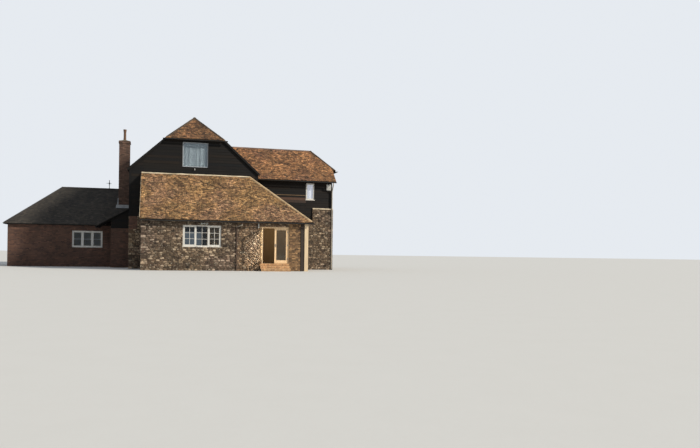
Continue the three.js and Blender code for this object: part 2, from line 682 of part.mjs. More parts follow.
// Small fittings
function fittings() {
  add("alarm_box", "paint", block(
    [alarm.x, alarm.x + alarm.width],
    [wingBoards.front - alarm.depth, wingBoards.front - seat],
    [alarm.z, alarm.z + alarm.height],
  ));
  const head = (x) => new THREE.CylinderGeometry(spotlight.radius, spotlight.radius * 0.7, spotlight.length, 16)
    .rotateX(Math.PI / 2 + spotlight.tilt)
    .translate(x, lean.front - spotlight.reach, spotlight.z);
  add("twin_spotlight", "plastic", faceted(join(
    block(
      [spotlight.x - spotlight.spread, spotlight.x + spotlight.spread],
      [lean.front - spotlight.reach, lean.front - seat],
      [spotlight.z - spotlight.bar, spotlight.z + spotlight.bar],
    ),
    head(spotlight.x - spotlight.spread),
    head(spotlight.x + spotlight.spread),
  )));
}

mainBlockWalls();
wingWalls();
leanToWalls();
rangeWalls();
mainBlockRoof();
wingRoofSlopes();
leanToRoof();
rangeAndPorchRoof();
chimney();
floors();
windows();
frenchDoors();
rainwater();
fittings();

// The origin is at the ground under the middle of the house's own box.
house.updateMatrixWorld(true);
const middle = new THREE.Box3().setFromObject(house, true).getCenter(new THREE.Vector3());
house.position.set(-middle.x, -middle.y, 0);

const centred = new THREE.Group();
centred.add(house);
export default centred;
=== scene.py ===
"""The looks of a converted barn house with clay tiled roofs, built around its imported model."""

import json
import logging
import math
from collections.abc import Iterable, Sequence
from dataclasses import dataclass, field, replace
from enum import Enum

import bpy
import numpy as np
from mathutils import Matrix, Vector

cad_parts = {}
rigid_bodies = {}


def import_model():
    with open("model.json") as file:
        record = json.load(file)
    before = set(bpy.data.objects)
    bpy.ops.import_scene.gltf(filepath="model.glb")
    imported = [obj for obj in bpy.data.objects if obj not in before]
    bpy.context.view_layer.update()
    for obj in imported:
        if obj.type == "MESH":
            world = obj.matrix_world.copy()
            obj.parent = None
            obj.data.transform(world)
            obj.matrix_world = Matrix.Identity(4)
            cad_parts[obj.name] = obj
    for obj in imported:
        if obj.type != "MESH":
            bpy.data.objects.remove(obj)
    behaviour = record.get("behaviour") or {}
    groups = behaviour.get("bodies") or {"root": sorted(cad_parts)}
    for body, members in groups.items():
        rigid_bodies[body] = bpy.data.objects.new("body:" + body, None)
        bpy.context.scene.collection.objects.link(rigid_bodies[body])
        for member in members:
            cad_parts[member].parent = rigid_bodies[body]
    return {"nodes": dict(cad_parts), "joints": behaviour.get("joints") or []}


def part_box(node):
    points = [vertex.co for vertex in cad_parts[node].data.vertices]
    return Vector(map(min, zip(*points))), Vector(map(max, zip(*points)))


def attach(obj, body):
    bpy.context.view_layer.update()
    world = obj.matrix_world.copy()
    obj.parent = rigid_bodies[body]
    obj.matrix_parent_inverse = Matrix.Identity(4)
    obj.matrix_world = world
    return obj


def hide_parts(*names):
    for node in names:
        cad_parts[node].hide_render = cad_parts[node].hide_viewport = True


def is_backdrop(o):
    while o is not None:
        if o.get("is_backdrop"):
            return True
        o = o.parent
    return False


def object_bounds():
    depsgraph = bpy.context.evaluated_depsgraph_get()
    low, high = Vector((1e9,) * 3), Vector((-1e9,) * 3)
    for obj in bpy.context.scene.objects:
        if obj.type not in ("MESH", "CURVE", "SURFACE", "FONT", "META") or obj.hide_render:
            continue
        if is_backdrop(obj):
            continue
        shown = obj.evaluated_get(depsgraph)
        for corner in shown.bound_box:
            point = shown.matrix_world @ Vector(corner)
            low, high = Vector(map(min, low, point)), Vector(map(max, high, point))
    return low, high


for leftover in list(bpy.data.objects):
    bpy.data.objects.remove(leftover)
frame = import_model()
CAD_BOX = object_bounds()

LOG = logging.getLogger("house")
ROOT = "house"
UP = np.array((0.0, 0.0, 1.0))
BACK = np.array((0.0, 1.0, 0.0))
SPECK_OF_AREA = 0.0008  # leftovers with less area than this are dropped
STRAIGHT = 1e-4  # corners that turn less than this count as straight
TOUCHING = 1e-6

Array = np.ndarray
Socket = bpy.types.NodeSocket
Node = bpy.types.Node
NodeTree = bpy.types.NodeTree
Piece = bpy.types.Object
Point = tuple[float, float]
Polygon = list[Point]
Colour = tuple[float, float, float, float]
Span = tuple[Sequence[float], Sequence[float]]
Bounds = tuple[float, float, float, float]
Member = tuple[Bounds, float, float, float]


def box_of(node: str) -> tuple[Array, Array]:
    """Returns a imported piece's lowest and highest corners."""
    low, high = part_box(node)
    return np.array(low), np.array(high)


CORNER = box_of("front_wall")[0]


def at(x: float, y: float, z: float) -> Array:
    """Returns a point measured from the tall block's front left corner, in the part's frame."""
    return CORNER + np.array((x, y, z))


def unit(vector: Sequence[float]) -> Array:
    """Returns the vector at length one."""
    vector = np.asarray(vector, float)
    return vector / np.linalg.norm(vector)


def colour(code: str) -> Colour:
    """Turns a colour written as six screen digits into linear light with an alpha of one."""
    levels = [int(code[i : i + 2], 16) / 255 for i in (0, 2, 4)]
    return *(c / 12.92 if c <= 0.04045 else ((c + 0.055) / 1.055) ** 2.4 for c in levels), 1.0


class Side(Enum):
    """The four ways that an upright wall can face."""

    FRONT = (0, -1, 0)
    BACK = (0, 1, 0)
    LEFT = (-1, 0, 0)
    RIGHT = (1, 0, 0)

    def way(self) -> Array:
        """Returns the direction out of the wall."""
        return np.array(self.value, float)


# ---- flat shapes


def cut(polygon: Polygon, a: float, b: float, c: float) -> Polygon:
    """Keeps the part of a polygon where a*x + b*y <= c.

    Args:
        polygon: Corners in order.
        a: The line's factor of x.
        b: The line's factor of y.
        c: The line's limit.

    Returns:
        The corners that are left, perhaps none.
    """
    kept: Polygon = []
    for i, (qx, qy) in enumerate(polygon):
        px, py = polygon[i - 1]
        before = a * px + b * py - c
        after = a * qx + b * qy - c
        if (before < 0) != (after < 0) and before != after:
            t = before / (before - after)
            kept.append((px + (qx - px) * t, py + (qy - py) * t))
        if after < 0:
            kept.append((qx, qy))
    return kept


def overlap(outline: Polygon, piece: Polygon) -> Polygon:
    """Cuts an outline back to a convex piece.

    Args:
        outline: Any outline.
        piece: Anticlockwise corners.

    Returns:
        The part of the outline inside the piece.
    """
    kept = outline
    for i, (qx, qy) in enumerate(piece):
        px, py = piece[i - 1]
        a, b = qy - py, px - qx
        kept = cut(kept, a, b, a * px + b * py)
        if not kept:
            break
    return kept


def area(polygon: Polygon) -> float:
    """Returns the area of a polygon, positive when it runs anticlockwise."""
    return 0.5 * sum(polygon[i - 1][0] * y - x * polygon[i - 1][1] for i, (x, y) in enumerate(polygon))


def rectangle(u0: float, u1: float, v0: float, v1: float) -> Polygon:
    """Returns a rectangle's corners anticlockwise."""
    return [(u0, v0), (u1, v0), (u1, v1), (u0, v1)]


def circle(sides: int) -> Array:
    """Returns even points of a circle of radius one, as rows of x and y."""
    angles = np.arange(sides) * 2 * math.pi / sides
    return np.column_stack((np.cos(angles), np.sin(angles)))


@dataclass
class Region:
    """A flat area with rectangular holes."""

    outlines: list[Polygon]  # anticlockwise outlines, which may be concave
    holes: list[Bounds] = field(default_factory=list)  # each hole as its low and high u and its low and high v

    def contains(self, points: Array) -> Array:
        """Tests points for lying in the area.

        Args:
            points: Any array whose last axis is u and v.

        Returns:
            An array of booleans.
        """
        x, y = points[..., 0], points[..., 1]
        found = np.zeros(x.shape, bool)
        for outline in self.outlines:
            odd = np.zeros(x.shape, bool)
            for i, (qx, qy) in enumerate(outline):
                px, py = outline[i - 1]
                if py != qy:
                    odd ^= ((py > y) != (qy > y)) & (x < (px - qx) * (y - qy) / (py - qy) + qx)
            found |= odd
        for u0, u1, v0, v1 in self.holes:
            found &= ~((x > u0) & (x < u1) & (y > v0) & (y < v1))
        return found

    def trim(self, piece: Polygon, smallest: float = SPECK_OF_AREA) -> list[Polygon]:
        """Cuts a small convex piece back to the area.

        Args:
            piece: Anticlockwise corners.
            smallest: Leftovers with less area than this are dropped.

        Returns:
            What is left of the piece.
        """
        inside = bool(self.contains(np.array(piece)).all())
        found = [piece] if inside else [overlap(outline, piece) for outline in self.outlines]
        for u0, u1, v0, v1 in self.holes:
            kept = []
            for part in (p for p in found if len(p) > 2):
                us, vs = zip(*part)
                if max(us) <= u0 or min(us) >= u1 or max(vs) <= v0 or min(vs) >= v1:
                    kept.append(part)
                    continue
                sides = [cut(part, 1, 0, u0), cut(part, -1, 0, -u1), cut(part, 0, 1, v0), cut(part, 0, -1, -v1)]
                kept.append(max(sides, key=lambda p: area(p) if len(p) > 2 else 0.0))
            found = kept
        return [part for part in found if len(part) > 2 and area(part) > smallest]

    def limits(self) -> Bounds:
        """Finds how far the area reaches.

        Returns:
            The low and high u and the low and high v.
        """
        corners = [corner for outline in self.outlines for corner in outline]
        (u0, v0), (u1, v1) = np.min(corners, axis=0).tolist(), np.max(corners, axis=0).tolist()
        return u0, u1, v0, v1

    def within(self, window: Polygon) -> "Region":
        """Returns the part of the area inside a convex window, with its holes."""
        return Region([overlap(outline, window) for outline in self.outlines], self.holes)

    def widened(self, by: float) -> "Region":
        """Returns the area with its two upright ends moved out."""
        left, right = self.limits()[0] + 1e-3, self.limits()[1] - 1e-3
        return Region([[(u + by * ((u > right) - (u < left)), v) for u, v in o] for o in self.outlines], self.holes)

    def levelled(self, reach: float = 0.25) -> "Region":
        """Returns the area with the corners near its foot brought down to its lowest level."""
        low = self.limits()[2]
        return Region([[(u, low if v < low + reach else v) for u, v in o] for o in self.outlines], self.holes)

    def panels(self, window: Polygon) -> list[Polygon]:
        """Cuts the part of the area inside a window into convex panels round its holes.

        Args:
            window: A convex outline.

        Returns:
            The panels.
        """
        parts = [overlap(outline, window) for outline in self.outlines]
        for u0, u1, v0, v1 in self.holes:
            following = []
            for part in (p for p in parts if len(p) > 2):
                middle = cut(cut(part, -1, 0, -u0), 1, 0, u1)
                following += [cut(part, 1, 0, u0), cut(part, -1, 0, -u1)]
                following += [cut(middle, 0, 1, v0), cut(middle, 0, -1, -v1)]
            parts = following
        return [part for part in parts if len(part) > 2 and area(part) > SPECK_OF_AREA]


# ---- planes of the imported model


@dataclass
class Facet:
    """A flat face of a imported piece, with u and v along it and n out of it."""

    u: Array
    v: Array
    n: Array
    offset: float  # distance of the plane from the origin along n
    region: Region  # the face's area in u and v

    def place(self, points: Array) -> Array:
        """Turns rows of u, v and height over the plane into points in the part's frame."""
        return points @ np.array((self.u, self.v, self.n)) + self.offset * self.n

    def raised(self, polygon: Polygon, height: float | Array = 0.0) -> Array:
        """Returns a flat polygon's corners in the part's frame, at a height over the plane."""
        return self.place(np.column_stack((np.array(polygon), np.broadcast_to(height, (len(polygon),)))))

    def flat(self, points: Array) -> Array:
        """Turns points in the part's frame into rows of u and v."""
        return points @ np.array((self.u, self.v)).T

    def span(self, low: Sequence[float], high: Sequence[float]) -> Bounds:
        """Finds how far a box in the part's frame reaches on the plane.

        Args:
            low: Its lowest corner.
            high: Its highest corner.

        Returns:
            The low and high u and the low and high v.
        """
        ends = self.flat(np.array((low, high)))
        (u0, v0), (u1, v1) = ends.min(0), ends.max(0)
        return float(u0), float(u1), float(v0), float(v1)

    def middle(self, polygon: Polygon) -> Array:
        """Returns the middle of a flat polygon, measured from the tall block's corner."""
        return self.place(np.array([[*np.mean(polygon, axis=0), 0.0]]))[0] - CORNER

    def bare(self, skip: Iterable[Span]) -> Region:
        """Returns the face's area with a hole for each box that other pieces cover."""
        return Region(self.region.outlines, self.region.holes + [self.span(at(*a), at(*b)) for a, b in skip])


def _loops(edges: Iterable[tuple[int, int]]) -> list[list[int]]:
    """Chains directed edges into closed loops.

    Args:
        edges: Pairs of corner numbers.

    Returns:
        The loops as corner numbers.
    """
    ways: dict[int, list[int]] = {}
    for a, b in edges:
        ways.setdefault(a, []).append(b)
    loops = []
    while ways:
        start = next(iter(ways))
        loop, here = [], start
        while here in ways:
            loop.append(here)
            following = ways[here].pop()
            if not ways[here]:
                del ways[here]
            here = following
            if here == start:
                break
        loops.append(loop)
    return loops


def _tidied(corners: Array) -> Polygon:
    """Drops the corners of a loop that lie on a straight line.

    Args:
        corners: Rows of u and v.

    Returns:
        The corners that turn.
    """
    before, after = corners - np.roll(corners, 1, axis=0), np.roll(corners, -1, axis=0) - corners
    turn = np.abs(before[:, 0] * after[:, 1] - before[:, 1] * after[:, 0])
    straight = STRAIGHT * np.linalg.norm(before, axis=1) * np.linalg.norm(after, axis=1)
    return [(u, v) for u, v in corners[turn > straight].tolist()]


def _triangles(node: str) -> tuple[Array, Array]:
    """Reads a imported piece's triangles.

    Args:
        node: The piece's name.

    Returns:
        Its separate points, and rows of three point numbers.
    """
    mesh = frame["nodes"][node].data
    mesh.calc_loop_triangles()
    places = np.empty(len(mesh.vertices) * 3)
    mesh.vertices.foreach_get("co", places)
    points, same = np.unique(np.round(places.reshape(-1, 3), 4), axis=0, return_inverse=True)
    corners = np.empty(len(mesh.loop_triangles) * 3, int)
    mesh.loop_triangles.foreach_get("vertices", corners)
    return points, same.ravel()[corners].reshape(-1, 3)


def facets(node: str) -> list[Facet]:
    """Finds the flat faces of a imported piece.

    Args:
        node: The piece's name.

    Returns:
        Its faces, the largest first.
    """
    points, triangles = _triangles(node)
    a, b, c = (points[triangles[:, k]] for k in range(3))
    cross = np.cross(b - a, c - a)
    sizes = np.linalg.norm(cross, axis=1)
    groups: list[tuple[Array, float, list[int]]] = []
    for i in np.argsort(-sizes):
        if sizes[i] < 1e-9:
            continue
        normal = cross[i] / sizes[i]
        for direction, offset, members in groups:
            if direction @ normal > 0.9999 and abs(direction @ a[i] - offset) < 0.0015:
                members.append(i)
                break
        else:
            groups.append((normal, float(normal @ a[i]), [i]))
    found = []
    for normal, offset, members in groups:
        up = UP if abs(normal[2]) < 0.99 else BACK
        v = unit(up - (up @ normal) * normal)
        u = np.cross(v, normal)
        pairs = {(int(t[k]), int(t[(k + 1) % 3])) for t in triangles[members] for k in range(3)}
        rims = _loops((p, q) for p, q in pairs if (q, p) not in pairs)
        loops = [_tidied(points[rim] @ np.array((u, v)).T) for rim in rims]
        outlines = [loop for loop in loops if len(loop) > 2 and area(loop) > 0]
        boxes = [(*np.min(h, axis=0), *np.max(h, axis=0)) for h in loops if len(h) > 2 and area(h) <= 0]
        region = Region(outlines, [(u0, u1, v0, v1) for u0, v0, u1, v1 in boxes])
        found.append((float(sizes[members].sum()), Facet(u, v, normal, offset, region)))
    found.sort(key=lambda pair: -pair[0])
    return [facet for _, facet in found]


def _joined(outlines: Sequence[Polygon]) -> list[Polygon]:
    """Joins outlines that share whole edges.

    Args:
        outlines: Anticlockwise outlines on one plane.

    Returns:
        The outlines of what they cover together.
    """
    numbers: dict[Point, int] = {}
    pairs = set()
    for outline in outlines:
        ids = [numbers.setdefault((round(u, 3), round(v, 3)), len(numbers)) for u, v in outline]
        pairs |= {(ids[i - 1], ids[i]) for i in range(len(ids))}
    points = np.array(list(numbers))
    return [_tidied(points[rim]) for rim in _loops((a, b) for a, b in pairs if (b, a) not in pairs)]


def wall_facet(nodes: str | Sequence[str], side: Side, where: float | None = None) -> Facet:
    """Finds the upright face of a wall that looks one way.

    Args:
        nodes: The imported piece, or several whose faces make up one plane.
        side: The way the face looks.
        where: Its distance from the tall block's corner, or nothing for the outermost large face.

    Returns:
        The face.
    """
    chosen = []
    for node in [nodes] if isinstance(nodes, str) else nodes:
        facing = [f for f in facets(node) if f.n @ side.way() > 0.999]
        if where is None:
            sizes = [sum(area(outline) for outline in f.region.outlines) for f in facing]
            large = [f for f, size in zip(facing, sizes) if size > 0.25 * max(sizes)]
            chosen.append(max(large, key=lambda f: f.offset))
        else:
            wanted = float(at(where, where, 0) @ side.way())
            chosen.append(min(facing, key=lambda f: abs(f.offset - wanted)))
    first = chosen[0]
    if len(chosen) > 1:
        outlines = _joined([outline for f in chosen for outline in f.region.outlines])
        first.region = Region(outlines, [hole for f in chosen for hole in f.region.holes])
    return first


def roof_facet(node: str) -> Facet:
    """Returns the top face of a roof slope."""
    return next(f for f in facets(node) if f.n[2] > 0.3)


def joint_line(one: Facet, other: Facet) -> tuple[Array, Array]:
    """Finds where two roof slopes meet.

    Args:
        one: The slope whose edge is searched for.
        other: The slope whose plane the edge lies on.

    Returns:
        The lower and the higher end of the edge.
    """
    rims = [one.raised(outline) for outline in one.region.outlines]
    edges = (ends for rim in rims for ends in zip(np.roll(rim, 1, axis=0), rim))
    lines = [ends for ends in edges if all(abs(end @ other.n - other.offset) < 0.004 for end in ends)]
    a, b = max(lines, key=lambda line: float(np.linalg.norm(line[1] - line[0])))
    return (a, b) if a[2] <= b[2] else (b, a)


# ---- meshes


class Stock:
    """Gathers closed solids and turns them into one mesh."""

    def __init__(self) -> None:
        """Starts empty."""
        self.points: list[Array] = []
        self.tones: list[Array] = []
        self.faces: list[tuple[Array, int]] = []
        self.count = 0

    def add(self, points: Array, faces: Iterable[Array], slot: int = 0, tone: float | Array = 0.5) -> None:
        """Adds corners and the faces between them.

        Args:
            points: Corners, one row each.
            faces: Arrays of corner numbers, with a row for each face, each array with faces of one size.
            slot: The material slot of these faces.
            tone: A number from 0 to 1 that the material picks its colour by, for all or for each corner.
        """
        points = np.asarray(points, float).reshape(-1, 3)
        self.points.append(points)
        self.tones.append(np.broadcast_to(np.asarray(tone, float), (len(points),)))
        self.faces += [(block + self.count, slot) for block in faces]
        self.count += len(points)

    def build(self, name: str, finishes: Sequence["Finish"], smooth: bool = False) -> Piece:
        """Makes the mesh object.

        Args:
            name: The object's name.
            finishes: One finish for each material slot.
            smooth: Whether its faces are shaded smooth.

        Returns:
            The new object, linked to the scene.
        """
        mesh = bpy.data.meshes.new(name)
        points, loops = np.concatenate(self.points), np.concatenate([block.ravel() for block, _ in self.faces])
        sizes = np.repeat([block.shape[1] for block, _ in self.faces], [len(block) for block, _ in self.faces])
        slots = np.repeat([slot for _, slot in self.faces], [len(block) for block, _ in self.faces])
        mesh.vertices.add(len(points))
        mesh.vertices.foreach_set("co", points.ravel())
        mesh.loops.add(len(loops))
        mesh.loops.foreach_set("vertex_index", loops)
        mesh.polygons.add(len(sizes))
        mesh.polygons.foreach_set("loop_start", np.concatenate(([0], np.cumsum(sizes)[:-1])))
        mesh.polygons.foreach_set("material_index", slots)
        mesh.polygons.foreach_set("use_smooth", np.full(len(sizes), smooth))
        mesh.update(calc_edges=True)
        mesh.attributes.new("tone", "FLOAT", "POINT").data.foreach_set("value", np.concatenate(self.tones))
        for finish in finishes:
            mesh.materials.append(finish.material())
        made = bpy.data.objects.new(name, mesh)
        bpy.context.scene.collection.objects.link(made)
        return made

    def piece(self, name: str, finishes: Sequence["Finish"], slot: str, replaces: Sequence[str] = (),
              body: str = ROOT, smooth: bool = False) -> Piece:
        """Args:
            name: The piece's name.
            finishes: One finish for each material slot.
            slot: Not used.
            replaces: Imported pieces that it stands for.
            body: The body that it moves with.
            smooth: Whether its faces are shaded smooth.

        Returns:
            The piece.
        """
        made = self.build(name, finishes, smooth)
        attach(made, body)
        if replaces:
            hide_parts(*replaces)
        LOG.info("%s: %d faces", name, len(made.data.polygons))
        return made

    def loft(self, sections: Sequence[Array], slot: int = 0, tone: float = 0.5, closed: bool = False) -> None:
        """Adds a skin through sections that have the same number of corners.

        Args:
            sections: Corner rows, turning anticlockwise as seen from the last section looking back.
            slot: Material slot.
            tone: Colour tone.
            closed: Whether the last section joins the first, in place of two end caps.
        """
        k, count = len(sections[0]), len(sections)
        ring = np.arange(k)
        faces = _between(k, count if closed else count - 1, count * k)
        if not closed:
            faces += [ring[::-1][None], (ring + (count - 1) * k)[None]]
        self.add(np.concatenate(sections), faces, slot, tone)

    def prism(self, facet: Facet, polygon: Polygon, low: float | Array, high: float | Array, slot: int = 0,
              tone: float = 0.5) -> None:
        """Adds a solid between two heights over a flat polygon, each for all of its corners or for each."""
        self.loft([facet.raised(polygon, low), facet.raised(polygon, high)], slot, tone)

    def pillow(self, facet: Facet, polygon: Polygon, rise: float, inset: float, crown: float = 0.0, slot: int = 0,
               tone: float = 0.5, square: bool = False) -> None:
        """Adds a stone or a brick that stands out of a plane.

        Args:
            facet: The plane that it stands on.
            polygon: Anticlockwise corners.
            rise: How far it stands out.
            inset: How far its face draws in from its joints.
            crown: How far the middle of its face swells.
            slot: Material slot.
            tone: Colour tone.
            square: Whether its sides stand square before the face draws in.
        """
        foot, shoulder, most = -0.004, 0.7, 0.45
        flat = np.array(polygon)
        n = len(flat)
        middle = flat.mean(0)
        out = flat - middle
        inner = middle + out * (1 - np.minimum(inset / np.linalg.norm(out, axis=1, keepdims=True), most))
        layers = [(flat, foot)] + [(flat, rise * shoulder)] * square + [(inner, rise)]
        points = [np.column_stack((xy, np.full(n, w))) for xy, w in layers]
        ring = np.arange(n)
        top = ring + (len(layers) - 1) * n
        faces = [ring[::-1][None], *_between(n, len(layers) - 1, len(layers) * n)]
        if crown:
            points.append(np.array([[*middle, rise + crown]]))
            faces.append(np.column_stack((top, np.roll(top, -1), np.full(n, top[0] + n))))
        else:
            faces.append(top[None])
        self.add(facet.place(np.concatenate(points)), faces, slot, tone)

    def beam(self, low: Sequence[float], high: Sequence[float], chamfer: float = 0.003, slot: int = 0,
             tone: float = 0.5, turn: Matrix | None = None) -> None:
        """Adds a box with chamfered edges.

        Args:
            low: Its lowest corner.
            high: Its highest corner.
            chamfer: Width taken off each edge.
            slot: Material slot.
            tone: Colour tone.
            turn: A placing to apply to the finished box.
        """
        low, high = np.asarray(low, float), np.asarray(high, float)
        middle, half = (low + high) / 2, (high - low) / 2
        chamfer = min(chamfer, half.min() * 0.8)
        corners, faces = CHAMFERED
        points = np.array([middle + sign * (half - chamfer * (np.arange(3) != axis)) for sign, axis in corners])
        if turn is not None:
            points = points @ np.array(turn.to_3x3()).T + np.array(turn.translation)
        self.add(points, faces, slot, tone)

    def rod(self, path: Sequence[Sequence[float]], radius: float | Sequence[float], sides: int = 10,
            slot: int = 0) -> None:
        """Adds a round bar along a path.

        Args:
            path: Points of its centre line.
            radius: One radius, or one for each point.
            sides: Number of sides.
            slot: Material slot.
        """
        path = np.asarray(path, float)
        way = np.gradient(path, axis=0)
        first = UP if abs(unit(way[0])[2]) < 0.9 else BACK
        sections = []
        for place, direction, r in zip(path, way, np.broadcast_to(radius, (len(path),))):
            side = unit(np.cross(first, direction))
            up = unit(np.cross(direction, side))
            sections.append(place + r * circle(sides) @ np.array((side, up)))
        self.loft(sections, slot)


def _between(k: int, spans: int, count: int) -> list[Array]:
    """Returns the faces of each gap between stacked rings of k corners, count in all, the last gap closing up."""
    ring, after = np.arange(k), np.roll(np.arange(k), -1)
    return [(np.column_stack((ring, after, after + k, ring + k)) + i * k) % count for i in range(spans)]


def _turned(ids: Sequence[int], shape: Array) -> list[int]:
    """Puts the corners of one face of a solid round the origin in order.

    Args:
        ids: The corners' numbers.
        shape: All corners of the solid.

    Returns:
        The numbers, anticlockwise from outside.
    """
    points = shape[ids]
    middle = points.mean(0)
    normal = unit(middle)
    side = unit(np.cross(normal, (0.3, 0.5, 0.9)))
    angles = np.arctan2((points - middle) @ np.cross(normal, side), (points - middle) @ side)
    return [ids[i] for i in np.argsort(angles)]


def _chamfered_cube() -> tuple[list[tuple[Array, int]], list[Array]]:
    """Works out the corners and faces of a box with chamfered edges.

    Returns:
        Each corner as its signs and the axis of the face it lies on, and the faces grouped by size.
    """
    signs = [np.array((x, y, z)) for x in (-1, 1) for y in (-1, 1) for z in (-1, 1)]
    corners = [(sign, axis) for sign in signs for axis in range(3)]
    shape = np.array([sign * (0.8 + 0.2 * (np.arange(3) == axis)) for sign, axis in corners])
    quads = []
    for axis in range(3):
        quads += [[i for i, (s, a) in enumerate(corners) if a == axis and s[axis] == way] for way in (-1, 1)]
        p, q = (a for a in range(3) if a != axis)
        for one, two in ((-1, -1), (-1, 1), (1, -1), (1, 1)):
            quads.append([i for i, (s, a) in enumerate(corners) if a != axis and s[p] == one and s[q] == two])
    tips = [[3 * k, 3 * k + 1, 3 * k + 2] for k in range(8)]
    return corners, [np.array([_turned(ids, shape) for ids in faces]) for faces in (quads, tips)]


CHAMFERED = _chamfered_cube()


# ---- shader building


class Tree:
    """Short ways of adding to a node tree."""

    def __init__(self, tree: NodeTree) -> None:
        """Works on the given tree."""
        self.tree = tree

    def add(self, kind: str, inputs: dict[str | int, object] | None = None, **settings: object) -> Node:
        """Adds a node.

        Args:
            kind: Its type, without the word that most types start with.
            inputs: Sockets to link from, or values, by input name or number.
            **settings: Properties to set on it.

        Returns:
            The node.
        """
        node = self.tree.nodes.new(kind if kind.startswith("NodeGroup") else "ShaderNode" + kind)
        for key, value in settings.items():
            setattr(node, key, value)
        for key, value in (inputs or {}).items():
            if isinstance(value, Socket):
                self.tree.links.new(value, node.inputs[key])
            else:
                node.inputs[key].default_value = value
        return node

    def math(self, operation: str, a: object, b: object = 0.0, clamp: bool = False) -> Socket:
        """Combines two numbers."""
        return self.add("Math", {0: a, 1: b}, operation=operation, use_clamp=clamp).outputs[0]

    def vector(self, operation: str, a: object, other: dict[str | int, object]) -> Socket:
        """Changes a vector or a colour."""
        return self.add("VectorMath", {0: a, **other}, operation=operation).outputs[0]

    def mix(self, factor: object, a: object, b: object, blend: str = "MIX") -> Socket:
        """Mixes two colours."""
        return self.add("Mix", {0: factor, 6: a, 7: b}, data_type="RGBA", blend_type=blend).outputs[2]

    def even_ramp(self, factor: object, codes: str) -> Socket:
        """Turns a number into a colour through evenly spaced stops.

        Args:
            factor: The number.
            codes: The stops' colours, with spaces between them.

        Returns:
            The colour.
        """
        colours = [colour(code) for code in codes.split()]
        node = self.add("ValToRGB", {0: factor})
        elements = node.color_ramp.elements
        while len(elements) < len(colours):
            elements.new(0.5)
        for i, (element, value) in enumerate(zip(elements, colours)):
            element.position, element.color = i / max(len(colours) - 1, 1), value
        return node.outputs[0]

    def spread(self, value: object, low: float, high: float, to_low: float = 0.0, to_high: float = 1.0) -> Socket:
        """Maps one range of numbers onto another, held at its ends."""
        return self.add("MapRange", {0: value, 1: low, 2: high, 3: to_low, 4: to_high}).outputs[0]

    def noise(self, vector: object, scale: object, detail: float = 3.0, roughness: float = 0.55) -> Socket:
        """Adds a noise texture and returns its value."""
        inputs = {"Vector": vector, "Scale": scale, "Detail": detail, "Roughness": roughness}
        return self.add("TexNoise", inputs).outputs[0]

    def place(self) -> Socket:
        """Returns the point's place in its object."""
        return self.add("TexCoord").outputs["Object"]

    def tone(self) -> Socket:
        """Returns the tone that the mesh carries."""
        return self.add("Attribute", attribute_name="tone").outputs["Fac"]

    def effect(self, effect: "Effect", **inputs: float) -> Socket:
        """Places a shared effect and returns its value."""
        return self.add("Group", inputs, node_tree=effect.group()).outputs[0]

    def faded(self, mask: Socket, strength: float) -> Socket:
        """Returns a mask at less than its full strength."""
        return self.math("MULTIPLY", mask, strength)


class Effect(Enum):
    """Effects that several finishes share, each a node group: its name and its inputs' usual values."""

    MOTTLE = ("mottle", {"Scale": 2.0, "Fine": 0.4})
    SPECKS = ("specks", {"Scale": 20.0, "Cover": 0.3, "Softness": 0.05, "Upright": 1.0})
    GRAIN = ("grain", {"X": 2.0, "Y": 2.0, "Z": 60.0})
    STREAKS = ("streaks", {"Scale": 1.0, "Cover": 0.3})

    def group(self) -> NodeTree:
        """Returns the effect's group, building it the first time.

        Returns:
            The group, whose one output is a number.
        """
        name, numbers = self.value
        if name in bpy.data.node_groups:
            return bpy.data.node_groups[name]
        group = bpy.data.node_groups.new(name, "ShaderNodeTree")
        for label, number in numbers.items():
            socket = group.interface.new_socket(label, in_out="INPUT", socket_type="NodeSocketFloat")
            socket.default_value = number
        group.interface.new_socket("Value", in_out="OUTPUT", socket_type="NodeSocketFloat")
        tree = Tree(group)
        draw = {Effect.MOTTLE: _mottle, Effect.SPECKS: _specks, Effect.GRAIN: _grain, Effect.STREAKS: _streaks}[self]
        tree.add("NodeGroupOutput", {0: draw(tree, *tree.add("NodeGroupInput").outputs[: len(numbers)])})
        return group


def _mottle(tree: Tree, scale: Socket, fine: Socket) -> Socket:
    """Draws soft cloudy patches over finer ones.

    Args:
        tree: The group's nodes.
        scale: Scale of the broad patches.
        fine: How strongly the finer ones show.

    Returns:
        A value around one half.
    """
    place = tree.place()
    broad = tree.noise(place, scale, 2.0)
    detail = tree.noise(place, tree.math("MULTIPLY", scale, 9.0), 4.0, 0.65)
    return tree.math("ADD", broad, tree.math("MULTIPLY", tree.math("SUBTRACT", detail, 0.5), fine))


def _specks(tree: Tree, scale: Socket, cover: Socket, softness: Socket, upright: Socket) -> Socket:
    """Draws scattered blotches with ragged edges.

    Args:
        tree: The group's nodes.
        scale: Scale of the blotches.
        cover: How much of the surface they take up.
        softness: How soft their edges are.
        upright: How much of the scale holds upwards, so that a low number draws them out.

    Returns:
        The blotches' mask.
    """
    squeeze = tree.add("CombineXYZ", {0: 1.0, 1: 1.0, 2: upright}).outputs[0]
    value = tree.noise(tree.vector("MULTIPLY", tree.place(), {1: squeeze}), scale, 4.0, 0.7)
    edge = tree.math("SUBTRACT", 0.72, tree.math("MULTIPLY", cover, 0.5))
    return tree.math("DIVIDE", tree.math("SUBTRACT", value, edge), softness, clamp=True)


def _grain(tree: Tree, x: Socket, y: Socket, z: Socket) -> Socket:
    """Draws wood grain around one half, squeezed along each axis."""
    squeeze = tree.add("CombineXYZ", {0: x, 1: y, 2: z}).outputs[0]
    return tree.noise(tree.vector("MULTIPLY", tree.place(), {1: squeeze}), 1.0, 5.0, 0.6)


